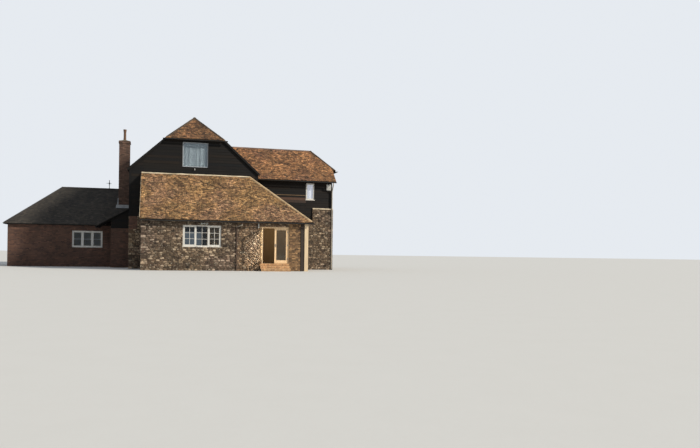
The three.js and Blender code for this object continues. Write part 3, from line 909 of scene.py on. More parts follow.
def _streaks(tree: Tree, scale: Socket, cover: Socket) -> Socket:
    """Draws stains that run down a wall.

    Args:
        tree: The group's nodes.
        scale: Scale of the stains.
        cover: How much of the wall they take up.

    Returns:
        The stains' mask.
    """
    value = tree.noise(tree.vector("MULTIPLY", tree.place(), {1: (6.0, 6.0, 0.7)}), scale, 5.0, 0.6)
    edge = tree.math("SUBTRACT", 0.7, tree.math("MULTIPLY", cover, 0.5))
    return tree.math("DIVIDE", tree.math("SUBTRACT", value, edge), 0.15, clamp=True)


# ---- finishes


@dataclass(frozen=True)
class Finish:
    """The material of one kind of surface."""

    name: str
    roughness: float = 0.85  # how dull it is
    bump: float = 0.002  # height in metres of its fine relief
    gloss: float = 0.5  # how strongly it mirrors light, one half being usual

    def surface(self, tree: Tree, shader: Node) -> tuple[object, Socket]:
        """Draws the finish, sets what is its own on the shader, and returns the colour and the relief."""
        raise NotImplementedError

    def material(self) -> bpy.types.Material:
        """Makes the material the first time that it is asked for.

        Returns:
            The material.
        """
        if self.name in bpy.data.materials:
            return bpy.data.materials[self.name]
        made = bpy.data.materials.new(self.name)
        made.use_nodes = True
        made.node_tree.nodes.clear()
        tree = Tree(made.node_tree)
        shader = tree.add("BsdfPrincipled", {"Roughness": self.roughness, "Specular IOR Level": self.gloss})
        tint, height = self.surface(tree, shader)
        if isinstance(tint, Socket):
            tree.tree.links.new(tint, shader.inputs["Base Color"])
        else:
            shader.inputs["Base Color"].default_value = tint
        bump = tree.add("Bump", {"Height": height, "Distance": self.bump, "Strength": 1.0})
        tree.tree.links.new(bump.outputs[0], shader.inputs["Normal"])
        tree.add("OutputMaterial", {"Surface": self.output(tree, shader)})
        return made

    def output(self, tree: Tree, shader: Node) -> Socket:
        """Returns what the surface shows."""
        return shader.outputs[0]


@dataclass(frozen=True)
class Toned(Finish):
    """Pieces that differ in colour from one to the next, such as tiles, stones and bricks."""

    palette: str = "888888"  # the colours that single pieces take, with spaces between them
    dark: str = "3a332c"  # the colour of dirt and shadowed pits
    pale: str = "b9b49c"  # the colour of lichen or lime
    dark_cover: float = 0.3  # how much of the surface the dark takes
    pale_cover: float = 0.2  # how much of the surface the pale takes
    patch: float = 0.5  # strength of the broad patches
    speck_scale: float = 25.0  # how fine the blotches are
    hues: str = ""  # the tints of the widest patches, which keep each piece as light or dark as it is
    upright: float = 1.0  # how tightly the blotches sit one over the other
    lichen_and_shade_dots: float = 0.0  # how strongly small dark spots show, partly black lichen and partly painted shade under lifted tiles

    def surface(self, tree: Tree, shader: Node) -> tuple[object, Socket]:
        """Picks each piece's colour by its tone, then adds patches, dark blotches of dirt and painted shade, and
        lichen.

        Args:
            tree: The material's nodes.
            shader: Not changed.

        Returns:
            The colour and the relief.
        """
        specks, scale = Effect.SPECKS, self.speck_scale
        broad = tree.effect(Effect.MOTTLE, Scale=0.9, Fine=0.6)
        light = tree.spread(broad, 0.3, 0.7, 1.0 - self.patch * 0.5, 1.0 + self.patch * 0.4)
        shaded = tree.vector("SCALE", tree.even_ramp(tree.tone(), self.palette), {"Scale": light})
        if self.hues:
            wide = tree.effect(Effect.MOTTLE, Scale=0.55, Fine=0.3)
            shaded = tree.mix(0.45, shaded, tree.even_ramp(tree.spread(wide, 0.38, 0.6), self.hues), "COLOR")
        # painted shade: the dark blotches stand for dirt and for the shadows in pits and gaps between pieces
        dirt_and_shade = tree.effect(specks, Scale=scale, Cover=self.dark_cover, Softness=0.2, Upright=self.upright)
        with_dirt_and_shade = tree.mix(tree.faded(dirt_and_shade, 0.8), shaded, colour(self.dark))
        # partly painted shade: small dark dots for black lichen and for the shadows under lifted tiles
        if self.lichen_and_shade_dots:
            dots = tree.effect(specks, Scale=scale * 1.6, Cover=0.42, Softness=0.1, Upright=self.upright)
            with_dirt_and_shade = tree.mix(tree.faded(dots, self.lichen_and_shade_dots), with_dirt_and_shade, colour(self.dark))
        lichen = tree.effect(specks, Scale=scale * 0.7, Cover=self.pale_cover, Softness=0.06)
        tinted = tree.mix(tree.faded(lichen, 0.6), with_dirt_and_shade, colour(self.pale))
        return tinted, tree.noise(tree.place(), scale * 5.0, 5.0, 0.7)


@dataclass(frozen=True)
class Plain(Finish):
    """Mortar, plaster, lead, plastic and other surfaces of one colour."""

    tint: str = "999999"
    stain: str = "555555"  # the colour of its patches and streaks
    patch: float = 0.4  # how strongly the patches show
    streak: float = 0.3  # how strongly the streaks show
    scale: float = 60.0  # how fine its relief is
    metallic: float = 0.0  # whether it is bare metal, from 0 to 1

    def surface(self, tree: Tree, shader: Node) -> tuple[object, Socket]:
        """Adds cloudy patches and streaks to one colour.

        Args:
            tree: The material's nodes.
            shader: Its metalness is set.

        Returns:
            The colour and the relief.
        """
        shader.inputs["Metallic"].default_value = self.metallic
        broad = tree.effect(Effect.MOTTLE, Scale=1.7, Fine=0.7)
        patchy = tree.mix(tree.spread(broad, 0.4, 0.75, 0.0, self.patch), colour(self.tint), colour(self.stain))
        runs = tree.effect(Effect.STREAKS, Scale=1.3, Cover=0.35)
        stained = tree.mix(tree.faded(runs, self.streak), patchy, colour(self.stain))
        return stained, tree.noise(tree.place(), self.scale, 4.0, 0.65)


class Way(Enum):
    """The way that wood grain runs, as how tightly it is squeezed along X, Y and Z."""

    LEVEL = (1.6, 1.6, 70.0)
    UPRIGHT = (70.0, 70.0, 1.6)
    ALONG_Y = (60.0, 1.6, 60.0)


@dataclass(frozen=True)
class Wood(Finish):
    """Boards and joinery."""

    palette: str = "777777"  # colours that single boards take, with spaces between them
    worn: str = "8a8378"  # the colour where the finish has worn off
    wear: float = 0.3  # how much of it has worn off
    way: Way = Way.LEVEL

    def surface(self, tree: Tree, shader: Node) -> tuple[object, Socket]:
        """Draws the grain, board by board, with worn patches.

        Args:
            tree: The material's nodes.
            shader: Not changed.

        Returns:
            The colour and the relief.
        """
        grain = tree.effect(Effect.GRAIN, **dict(zip("XYZ", self.way.value)))
        light = tree.spread(grain, 0.3, 0.7, 0.72, 1.25)
        lit = tree.vector("SCALE", tree.even_ramp(tree.tone(), self.palette), {"Scale": light})
        broad = tree.effect(Effect.MOTTLE, Scale=1.1, Fine=0.8)
        bare = tree.math("MULTIPLY", tree.spread(broad, 0.5, 0.8), tree.spread(grain, 0.45, 0.62), clamp=True)
        return tree.mix(tree.faded(bare, self.wear), lit, colour(self.worn)), grain


@dataclass(frozen=True)
class Glazing(Finish):
    """Window glass."""

    roughness: float = 0.02
    tint: str = "e8f0ee"

    def surface(self, tree: Tree, shader: Node) -> tuple[object, Socket]:
        """Makes it clear, with a slight wave in its face.

        Args:
            tree: The material's nodes.
            shader: Made clear.

        Returns:
            The colour and the relief.
        """
        shader.inputs["Transmission Weight"].default_value = 1.0
        shader.inputs["IOR"].default_value = 1.45
        return colour(self.tint), tree.noise(tree.place(), 3.0, 2.0)

    def output(self, tree: Tree, shader: Node) -> Socket:
        """Returns the glass, clear to rays that look for a light."""
        sockets = {0: tree.add("LightPath").outputs["Is Shadow Ray"], 1: shader.outputs[0]}
        return tree.add("MixShader", {**sockets, 2: tree.add("BsdfTransparent").outputs[0]}).outputs[0]


@dataclass(frozen=True)
class Cloth(Finish):
    """Curtains and blinds."""

    roughness: float = 0.95
    bump: float = 0.0003
    tint: str = "d9dfe4"
    weave: float = 700.0  # threads for each metre
    painted_glow: float = 0.0  # strength of its painted glow, which lightens it where it lies in shade

    def surface(self, tree: Tree, shader: Node) -> tuple[object, Socket]:
        """Draws threads up and across, and softens the sheen.

        Args:
            tree: The material's nodes.
            shader: Its sheen and its painted glow are set.

        Returns:
            The colour and the relief.
        """
        shader.inputs["Sheen Weight"].default_value = 0.3
        # painted light: the cloth glows in its own colour, though no lamp stands behind it
        shader.inputs["Emission Color"].default_value = colour(self.tint)
        shader.inputs["Emission Strength"].default_value = self.painted_glow
        parts = tree.add("SeparateXYZ", {0: tree.vector("SCALE", tree.place(), {"Scale": self.weave})}).outputs
        across = tree.math("SINE", tree.math("ADD", parts[0], parts[1]))
        threads = tree.math("MULTIPLY", across, tree.math("SINE", parts[2]))
        broad = tree.effect(Effect.MOTTLE, Scale=2.2, Fine=0.3)
        dark = (*(c * 0.82 for c in colour(self.tint)[:3]), 1.0)
        return tree.mix(tree.spread(broad, 0.35, 0.7), colour(self.tint), dark), threads

GOLDEN_TILE = Toned(
    "peg_tile_golden", dark="2e2119", pale="a8926a", dark_cover=0.62, pale_cover=0.3, patch=0.7,
    palette="453626 a07750 6c5439 be8e5d 876545 cea16b 58432f ad8255 dbae77 7a5c3e f1c28a 9b7351",
    hues="7c5f4e 906d4a 9a7848", speck_scale=11.0, upright=0.25, lichen_and_shade_dots=0.7,
)
RUSSET_TILE = replace(
    GOLDEN_TILE, name="peg_tile_russet", dark="2b1f18", pale="978262", dark_cover=0.58, pale_cover=0.28,
    palette="443021 a06e4b 6b4e35 bd8658 835d3d cc9462 57412c a97750 d49b6a 765237 edaf7a 966a48",
    hues="7a584a 956b49 9c7148",
)
HIP_TILE = replace(
    GOLDEN_TILE, name="peg_tile_red", dark="2d231c", pale="8c7858", dark_cover=0.56, pale_cover=0.26, patch=0.6,
    palette="39291e 865e3f 5a422e 9b6e46 6f4f36 aa7a51 4a3728 8f6547 b68157 644732 c99465 7e593e",
    hues="6f5042 825f41 8a6843",
)
# partly painted shade: dark tiles whose palette is darkened further for the shade of the tall block over the low range
# and porch
SHADED_PLUM_TILE = Toned(
    "peg_tile_plum", dark="1b191a", pale="565249", dark_cover=0.4, pale_cover=0.16, patch=0.3, speck_scale=24.0,
    palette="2d2b2a 393531 443f38 34312d 4d4740 312e2b 3f3b35",
)
RIDGE_TILE = Toned(
    "ridge_tile", dark="221d19", pale="7a705a", dark_cover=0.45, pale_cover=0.35,
    palette="33291f 43362b 554536 3a2f27",
)
RUSSET_RIDGE_TILE = replace(RIDGE_TILE, name="ridge_tile_russet", palette="5c463b 775d50 8d7262 6b5347")
PLUM_RIDGE_TILE = Toned(
    "ridge_tile_plum", dark="1b191a", pale="5a554b", dark_cover=0.4, palette="2b2828 35312f 3e3935 302d2c"
)
PALE_RIDGE_TILE = Toned(
    "pale_ridge_tile", dark="6d5640", pale="c4b391", pale_cover=0.5, palette="a08361 b5956d cbad85 a88863"
)
RAGSTONE = Toned(
    "ragstone_rubble", bump=0.004, dark="1d1712", pale="b5a995", dark_cover=0.54, pale_cover=0.3, patch=0.7,
    palette="241c15 6a5140 493a2e 7e6752 554536 937e68 43362a 766250 5c4b3b a5907a bdae99 6d5845",
    hues="6a594f 6f5c4b 75634b", speck_scale=9.0,
)
WARM_RAGSTONE = replace(
    RAGSTONE, name="warm_ragstone_rubble", hues="806a58 8c7052 98785a",
    palette="57432f 8a6e55 6f5843 9b7e61 7b614b ab8f72 6b5440 917660 806650 b39a7f bfa68a 8a7059",
)
STOCK_BRICK = Toned(
    "stack_brick", dark="201a18", pale="6a5f52", dark_cover=0.4, pale_cover=0.14, speck_scale=30.0,
    palette="4b3932 5f463d 6e5447 54423a 785d4f 46362f",
)
RANGE_BRICK = Toned(
    "range_brick", dark="291f1a", pale="7a6e60", dark_cover=0.34, pale_cover=0.18, speck_scale=30.0,
    palette="4a3530 584037 66493d 503a32 704f40 43312c",
)
WARM_BRICK = Toned(
    "lean_to_brick", dark="2c2119", pale="b39c80", dark_cover=0.34, pale_cover=0.3, speck_scale=30.0,
    palette="3d2d20 6e5239 97754f 54402b b38d62 614730",
)
STEP_BRICK = Toned(
    "step_brick", dark="6f553c", pale="e0c9a4", speck_scale=30.0,
    palette="a98463 c39a70 d6ad80 e2bd90 ebcba0 d9b487",
)
TERRACOTTA = Toned("clay_pot", dark="35261f", pale="8b7257", palette="5b4435 68503f 4f3c30")

LIME_MORTAR = Plain("lime_mortar", bump=0.003, tint="5d5040", stain="40362b", patch=0.6, streak=0.25)
PLASTER = Plain("plaster", bump=0.0008, tint="b8a07c", stain="a08763", patch=0.3, streak=0.05)
CREAM_FILLET = Plain("cream_fillet", bump=0.003, tint="dccdb2", stain="85795f", patch=0.75, streak=0.1, scale=40.0)
BED_MORTAR = Plain("bed_mortar", bump=0.003, tint="6f6453", stain="473f34", patch=0.5, streak=0.1, scale=40.0)
LEAD = Plain("lead_sheet", 0.55, 0.001, tint="8c9094", stain="c2c5c4", patch=0.5, streak=0.5, scale=9.0)
BLACK_METAL = Plain("black_rainwater", 0.45, 0.0006, tint="1d1c1c", stain="3b3833", patch=0.5, scale=30.0)
BROWN_PIPE = Plain("brown_rainwater", 0.5, 0.0006, tint="4a3527", stain="2d221b", patch=0.5, scale=30.0)
PALE_PIPE = Plain("pale_rainwater", 0.5, 0.0006, tint="a7a093", stain="7b7365", patch=0.5, scale=30.0)
GALVANISED = Plain("galvanised", 0.4, 0.0004, tint="8d9092", stain="5f6264", metallic=0.8, scale=50.0)
WHITE_PLASTIC = Plain("white_casing", 0.4, 0.0004, tint="bcbdba", stain="a5a49c", patch=0.3, scale=40.0)
FLAGSTONE = Plain("flagstone", 0.7, tint="8b8172", stain="5d5548", patch=0.6, streak=0.0, scale=20.0)
STUDIO_FLOOR = Plain("studio_floor", 0.95, tint="dcdcd9", stain="d6d6d2", patch=0.2, streak=0.0, scale=2.0)

BLACK_BOARD = Wood(
    "stained_weatherboard", 0.7, gloss=0.22, palette="0f0f11 151413 1a1613 101214 1f1914 131213", worn="30271e"
)
BLACK_TRIM = Wood(
    "stained_upright", 0.7, 0.001, 0.22, palette="0f0f10 141313", worn="28211b", wear=0.25, way=Way.UPRIGHT
)
# partly painted shadow: the dark board beside the corner post stands where the post's shadow falls
BROWN_SHADOW_BOARD = Wood("brown_upright_board", 0.7, 0.001, palette="2b2119 34281e", worn="4f3f2f", way=Way.UPRIGHT)
WEATHERED_LATH = Wood("weathered_lath", 0.8, 0.001, palette="6c5841 7c674e", worn="8f7a5f", wear=0.4)
FADED_BOARD = Wood("faded_weatherboard", 0.75, palette="2c1f17 4a3325 5c4131", worn="8b7052", wear=0.4)
WHITE_PAINT = Wood("white_joinery", 0.45, 0.0006, palette="dad8d1 e3e1da", worn="aaa496", wear=0.25, way=Way.UPRIGHT)
GREY_PAINT = Wood("pale_grey_joinery", 0.45, 0.0006, palette="a3aab0 aeb5ba", worn="8a8f92", wear=0.2, way=Way.UPRIGHT)
CREAM_PAINT = Wood("cream_joinery", 0.5, 0.0006, palette="dcc5a2 e9d6b5", worn="a8926f", wear=0.4, way=Way.UPRIGHT)
PALE_OAK = Wood("pale_oak", 0.5, 0.0008, palette="e0bb8c eccda3 d8b184", worn="eedabb", wear=0.4, way=Way.UPRIGHT)
FLOOR_OAK = Wood("floor_oak", 0.55, 0.001, palette="8a6848 9a7753", worn="6d5036", way=Way.ALONG_Y)

CLEAR_GLASS = Glazing("clear_glass", bump=0.0003)
# both cloths carry a painted glow that lightens their shaded parts
CURTAIN_CLOTH = Cloth("curtain_cloth", tint="636a73", painted_glow=0.6)
BLIND_CLOTH = Cloth("blind_cloth", tint="9fa0aa", painted_glow=1.1)


# ---- roofs


@dataclass
class TiledSlope:
    """One slope of a roof: overlapping peg tiles on a boarded deck."""

    node: str
    finish: Toned
    seed: int
    walls: Bounds  # low and high X and low and high Y of the walls under it
    width: float = 0.165  # width of a tile with the gap beside it
    gap: float = 0.005
    gauge: float = 0.1  # how much of each tile's length shows
    lap: float = 0.035  # how far a tile's modelled part runs under the next course
    thick: float = 0.013
    camber: float = 0.003  # how far the middle of a tile swells
    slip: float = 0.007  # how unevenly the lower edges run
    tilt: float = 0.028  # how much a tile rocks to one side, for each metre across
    lift: float = 0.0022  # how unevenly the tiles bed
    deck: float = 0.05  # depth of the deck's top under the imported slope's top
    board: float = 0.076  # depth of the underside of the boards that reach past the walls
    depth: float = 0.148  # depth of the underside of the roof over the walls
    overhang: float = 0.04  # how far the tiles reach past the boards at the eaves
    sag: float = 0.006  # depth of the dips in an old roof
    stray: float = 0.004  # how unevenly the courses start
    eaves: float = 0.17  # least reach past the walls that shows rafters
    rafter: tuple[float, float, float] = (0.05, 0.055, 0.4)  # width, depth and spacing of the rafters' ends

    def __post_init__(self) -> None:
        """Finds the slope's plane and sets out what the tiles need."""
        self.facet = roof_facet(self.node)
        self.rng = np.random.default_rng(self.seed)
        self.stock = Stock()

    def _tops(self, u: Array, v: Array, start: float | Array) -> Array:
        """Finds how high the top of a tile lies.

        Args:
            u: Places along the slope.
            v: Places up the slope.
            start: Where the tile at each place starts, up the slope.

        Returns:
            The height at each place.
        """
        wave = np.sin(1.3 * u + self.seed) * np.sin(1.1 * v + 2.0 * self.seed)
        dip = self.sag * (wave + 0.4 * np.sin(3.1 * u + v) - 1.4) / 2
        return dip + 3 * self.thick - self.deck - self.thick * (v - start) / (self.gauge + self.lap)

    def _whole(self, starts: Array) -> None:
        """Adds the tiles that nothing cuts.

        Args:
            starts: A row of u, v and drop for each tile.
        """
        n = len(starts)
        start_u, start_v, drop = (starts[:, k, None, None] for k in range(3))
        across = np.array((self.gap / 2, self.width / 2, self.width - self.gap / 2))[None, :, None]
        u = start_u + across + np.zeros((n, 3, 2))
        v = start_v + np.array((0.0, self.gauge + self.lap)) + np.zeros((n, 3, 2))
        v[:, :, 0] += np.abs(self.rng.normal(0, self.slip, (n, 1)))
        tilt = self.rng.normal(0, self.tilt, (n, 1, 1)) * (across - self.width / 2)
        lift = self.rng.normal(0, self.lift, (n, 1, 1)) + np.array((0.0, self.camber, 0.0))[None, :, None]
        top = self._tops(u, v, start_v) + tilt + lift + drop
        layers = np.stack((top - self.thick, top), axis=-1)
        flat = np.broadcast_to(np.stack((u, v), axis=-1)[:, :, :, None, :], (n, 3, 2, 2, 2))
        points = np.concatenate((flat, layers[..., None]), axis=-1).reshape(n * 12, 3)
        ids = np.arange(12).reshape(3, 2, 2)
        faces = []
        for a, b in zip(ids, ids[1:]):
            faces += [[a[0, 1], b[0, 1], b[1, 1], a[1, 1]], [a[0, 0], a[1, 0], b[1, 0], b[0, 0]]]
            faces += [[a[0, 0], b[0, 0], b[0, 1], a[0, 1]], [a[1, 0], a[1, 1], b[1, 1], b[1, 0]]]
        (a, b), (c, d) = ids[0], ids[2]
        faces += [[a[0], a[1], b[1], b[0]], [c[0], d[0], d[1], c[1]]]
        block = (np.array(faces)[None] + 12 * np.arange(n)[:, None, None]).reshape(-1, 4)
        self.stock.add(self.facet.place(points), [block], 0, np.repeat(self.rng.random(n), 12))

    def _starts(self) -> Array:
        """Lays out the courses, each half a tile across from the last.

        Returns:
            A row of u, v and drop for each tile.
        """
        left, right, low, high = self.facet.region.limits()
        courses = [(low, 1, -self.thick)]
        courses += [(low + j * self.gauge, j, 0.0) for j in range(int((high - low) / self.gauge) + 1)]
        rows = []
        for v, j, drop in courses:
            shift = (j % 2) * self.width / 2 + self.rng.uniform(-self.stray, self.stray)
            rows += [(u, v, drop) for u in np.arange(left - self.width + shift, right, self.width)]
        return np.array(rows)

    def _plate(self, outline: Polygon, top: float, bottom: float) -> None:
        """Adds a layer of the roof between two depths, cut plumb round its edge."""
        steep, base = UP / self.facet.n[2], self.facet.raised(outline)
        self.stock.loft([base - steep * bottom, base - steep * top], 1)

    def _deck(self) -> None:
        """Adds the boards under the tiles, the roof over the walls and the rafters' ends."""
        facet = self.facet
        low = facet.region.limits()[2]
        (x0, y0, _), (x1, y1, _) = at(self.walls[0], self.walls[2], 0), at(self.walls[1], self.walls[3], 0)
        wide, tall, spacing = self.rafter
        for outline in facet.region.outlines:
            self._plate(cut(outline, 0, -1, -low - self.overhang), self.deck, self.board)
            over = outline
            for axis, way, limit in ((0, -1, x0), (0, 1, x1), (1, -1, y0), (1, 1, y1)):
                a, b = way * facet.u[axis], way * facet.v[axis]
                over = cut(over, float(a), float(b), float(way * (limit - facet.offset * facet.n[axis])))
            if len(over) < 3:
                continue
            self._plate(over, self.board, self.depth)
            foot = min(v for _, v in over)
            ends = [u for u, v in over if v < foot + 0.01]
            if foot - low > self.eaves:
                for u in np.arange(min(ends) + 0.02, max(ends) - 0.05, spacing):
                    tail = rectangle(float(u), float(u) + wide, low + 0.1, foot + 0.02)
                    self.stock.prism(facet, tail, -self.board - tall, -self.board, 1)

    def build(self) -> None:
        """Builds the deck and the tiles, cutting those on the slope's edges."""
        region = self.facet.region
        starts = self._starts()
        tiles = starts[:, None, :2] + np.array(rectangle(0.0, self.width, 0.0, self.gauge + self.lap))
        inside = region.contains(tiles)
        at_eaves = tiles[:, :2, 1] <= region.limits()[2] + TOUCHING
        inside[:, :2] |= at_eaves & region.contains(tiles[:, :2] + (0.0, 0.002))
        whole = inside.all(1)
        self._whole(starts[whole])
        touched = ~whole & (inside.any(1) | region.contains(tiles.mean(1)))
        for (_, start, drop), tile in zip(starts[touched], tiles[touched]):
            for part in region.trim([(float(u), float(v)) for u, v in tile]):
                top = self._tops(*np.array(part).T, start) + drop
                self.stock.prism(self.facet, part, top - self.thick, top, 0, float(self.rng.random()))
        self._deck()
        self.stock.piece(f"{self.node}_tiles", [self.finish, BLACK_TRIM], "tile", [self.node])


@dataclass
class RidgeRun:
    """Half-round tiles bedded in mortar along a ridge or a hip."""

    name: str
    slopes: tuple[str, str]  # the two packed slopes that meet there
    finish: Toned
    radius: float = 0.1  # outside radius of a tile
    sink: float = 0.104  # depth of the tiles' centre under the line where the slopes meet
    length: float = 0.33
    thick: float = 0.014
    gap: float = 0.002  # half the gap between two tiles
    trim: float = 0.12  # length left off at the lower end
    cover: float = 0.013  # height of the roof tiles that its edges reach
    tuck: float = 0.06  # how far, in radians, its edges run in under them
    settle: float = 0.0015  # how unevenly the tiles bed

    def build(self) -> None:
        """Builds the tiles and their bed."""
        one, other = (roof_facet(node) for node in self.slopes)
        start, end = joint_line(one, other)
        along = unit(end - start)
        start = start + along * self.trim
        up = unit(one.n + other.n)
        up = unit(up - (up @ along) * along)
        half = math.acos(min(1.0, float(one.n @ up)))
        reach = half + math.acos(min(1.0, (self.sink * math.cos(half) - self.cover) / self.radius)) + self.tuck
        angles = np.linspace(-reach, reach, 9)
        arc = np.outer(np.sin(angles), np.cross(along, up)) + np.outer(np.cos(angles), up)
        rng = np.random.default_rng(len(self.name))
        stock = Stock()
        total = float(np.linalg.norm(end - start))
        count = max(1, round(total / self.length))
        step = total / count
        inner = self.radius - self.thick
        for i in range(count):
            lift = rng.normal(0, self.settle)
            ends = (i * step + self.gap, (i + 1) * step - self.gap)
            centres = [start + along * s + up * (lift - self.sink) for s in ends]
            sections = [np.concatenate((c + self.radius * arc, (c + inner * arc)[::-1])) for c in centres]
            stock.loft(sections, 0, float(rng.random()))
        bed = [start + along * s - up * self.sink for s in (2 * self.gap, total - 2 * self.gap)]
        stock.loft([centre + (inner - self.gap) * arc for centre in bed], 1)
        stock.piece(self.name, [self.finish, BED_MORTAR], "tile")


# ---- walls


@dataclass
class Facing:
    """What covers one face of a wall."""

    name: str
    node: str | Sequence[str]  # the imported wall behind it, or several that make up one plane
    side: Side
    skip: Sequence[Span] = ()  # boxes left bare

    def __post_init__(self) -> None:
        """Finds the face and the area to cover, and sets out what the covering needs."""
        self.facet = wall_facet(self.node, self.side)
        self.region = self.facet.bare(self.skip)
        self.rng = np.random.default_rng(len(self.name))
        self.stock = Stock()


@dataclass
class RubbleWall(Facing):
    """The rubble stones on one face of a wall."""

    quoins: tuple[bool, bool] = (True, True)  # ends of the face that have dressed corner stones, as low and high
    stone: tuple[float, float] = (0.2, 0.1)  # usual width and height of a stone
    joint: float = 0.012
    rise: tuple[float, float] = (0.009, 0.032)  # least and most that a stone stands out
    inset: tuple[float, float] = (0.012, 0.022)  # least and most that its face draws in
    crown: tuple[float, float] = (0.002, 0.006)  # least and most that its face swells
    quoin: tuple[float, float, float] = (0.021, 0.012, 0.004)  # the same three for a corner stone
    wrap: float = 0.018  # how far the stones reach past the face's ends, to meet those round the corner
    squash: float = 0.42  # how much wider than high the stones are laid out
    reach: float = 0.22  # how far off a stone's neighbours are looked for
    warm_from: float = math.inf  # distance along the garden front from which the stones are paler and warmer

    def _seeds(self) -> Array:
        """Scatters the stones' middles in rough courses.

        Returns:
            Rows of u and v, the lowest first.
        """
        left, right, z, high = self.region.limits()
        wide, tall = self.stone
        rows = []
        while z < high + 0.1:
            height = tall * self.rng.uniform(0.7, 1.35)
            u = left - self.rng.uniform(0, wide)
            while u < right + 0.2:
                width = wide * self.rng.uniform(0.5, 1.6)
                rows.append((u + width / 2, z + height / 2 + self.rng.normal(0, tall * 0.13)))
                u += width
            z += height
        seeds = np.array(rows)
        return seeds[np.argsort(seeds[:, 1])]

    def _stones(self) -> Iterable[Polygon]:
        """Lays out the stones, each the cell of points that lie nearest to its middle, less its joints.

        Yields:
            Anticlockwise outlines, cut back to the area.
        """
        seeds = self._seeds()
        flat = seeds * (self.squash, 1.0)
        around = np.array(((0, 0), (0.15, 0), (-0.15, 0), (0, 0.08), (0, -0.08)))
        for seed, (x, y) in zip(seeds, flat):
            if not self.region.contains(seed + around).any():
                continue
            first, last = np.searchsorted(flat[:, 1], (y - self.reach, y + self.reach))
            gaps = flat[first:last] - (x, y)
            distance = (gaps**2).sum(1)
            cell = rectangle(x - 0.3, x + 0.3, y - 0.2, y + 0.2)
            for k in np.argsort(distance)[1:17]:
                if distance[k] > self.reach**2 or len(cell) < 3:
                    break
                a, b = gaps[k]
                limit = a * x + b * y + distance[k] / 2 - math.sqrt(distance[k]) * self.joint / 2
                cell = cut(cell, float(a), float(b), float(limit))
            if len(cell) > 2:
                yield from self.region.trim([(u / self.squash, v) for u, v in cell])

    def _corner_stones(self) -> list[Bounds]:
        """Lays out the dressed stones up the ends of the face, short and long by turns.

        Returns:
            Each stone's low and high u and its low and high v.
        """
        left, right, low, high = self.region.limits()
        found = []
        for at_high_end, wanted in enumerate(self.quoins):
            z, long = low, False
            while wanted and z < high - 0.12:
                height = min(self.rng.uniform(0.1, 0.19), high - z)
                width = self.rng.uniform(0.24, 0.36) if long else self.rng.uniform(0.13, 0.2)
                u0, u1 = (right - width, right) if at_high_end else (left, left + width)
                if self.region.contains(np.array([((u0 + u1) / 2, z + height / 2)])).all():
                    found.append((u0, u1, z, z + height))
                z, long = z + height, not long
        return found

    def build(self) -> None:
        """Builds the stones."""
        left, right = self.region.limits()[:2]
        corners = self._corner_stones()
        rng, j = self.rng, self.joint / 2
        for u0, u1, z0, z1 in corners:
            low_end = u0 - self.wrap if u0 <= left + TOUCHING else u0 + j
            high_end = u1 + self.wrap if u1 >= right - TOUCHING else u1 - j
            outline = rectangle(low_end, high_end, z0 + j, z1 - j)
            self.stock.pillow(self.facet, outline, *self.quoin, 0, rng.random())
        self.region = Region(self.region.outlines, self.region.holes + corners)
        for part in self._stones():
            face = [rng.uniform(*ends) for ends in (self.rise, self.inset, self.crown)]
            warm = int(self.facet.middle(part)[0] > self.warm_from)
            self.stock.pillow(self.facet, part, *face, warm, rng.random())
        self.stock.piece(self.name, [RAGSTONE, WARM_RAGSTONE], "ragstone")


@dataclass
class BrickWall(Facing):
    """The bricks on one face of a wall."""

    finish: Toned = RANGE_BRICK
    within: Span | None = None  # the box that the bricks keep to, if they don't cover the whole face
    size: tuple[float, float, float] = (0.215, 0.1025, 0.065)  # length, width and height of a brick
    joint: float = 0.01
    rise: float = 0.007  # how far the bricks stand out of the mortar
    uneven: float = 0.0008  # how much that varies
    inset: float = 0.004  # how far their faces draw in
    flemish: bool = True  # whether ends and sides take turns along a course
    seed: int | None = None  # makes it its own, where its name doesn't

    def lay(self, facet: Facet, region: Region) -> None:
        """Lays courses of bricks.

        Args:
            facet: The plane to lay them on.
            region: The area to cover.
        """
        length, width, height = self.size
        left, right, low, high = region.limits()
        course = height + self.joint
        lengths = (length, width) if self.flemish else (length, length)
        shift = sum(lengths) / 2 + self.joint if self.flemish else (length + self.joint) / 2
        for k in range(int((high - low) / course) + 1):
            z, u, i = low + k * course, left - (k % 2) * shift, 0
            while u < right:
                step = lengths[i % 2]
                for part in region.trim(rectangle(u, u + step, z + self.joint, z + course), SPECK_OF_AREA / 2):
                    rise = self.rise + self.rng.normal(0, self.uneven)
                    self.stock.pillow(facet, part, rise, self.inset, tone=self.rng.random(), square=True)
                u += step + self.joint
                i += 1

    def build(self) -> None:
        """Builds the bricks."""
        region = self.region.widened(0.006)
        if self.within:
            region = region.within(rectangle(*self.facet.span(*(at(*corner) for corner in self.within))))
        if self.seed:
            self.rng = np.random.default_rng(self.seed)
        self.lay(self.facet, region)
        self.stock.piece(self.name, [self.finish], "brick")


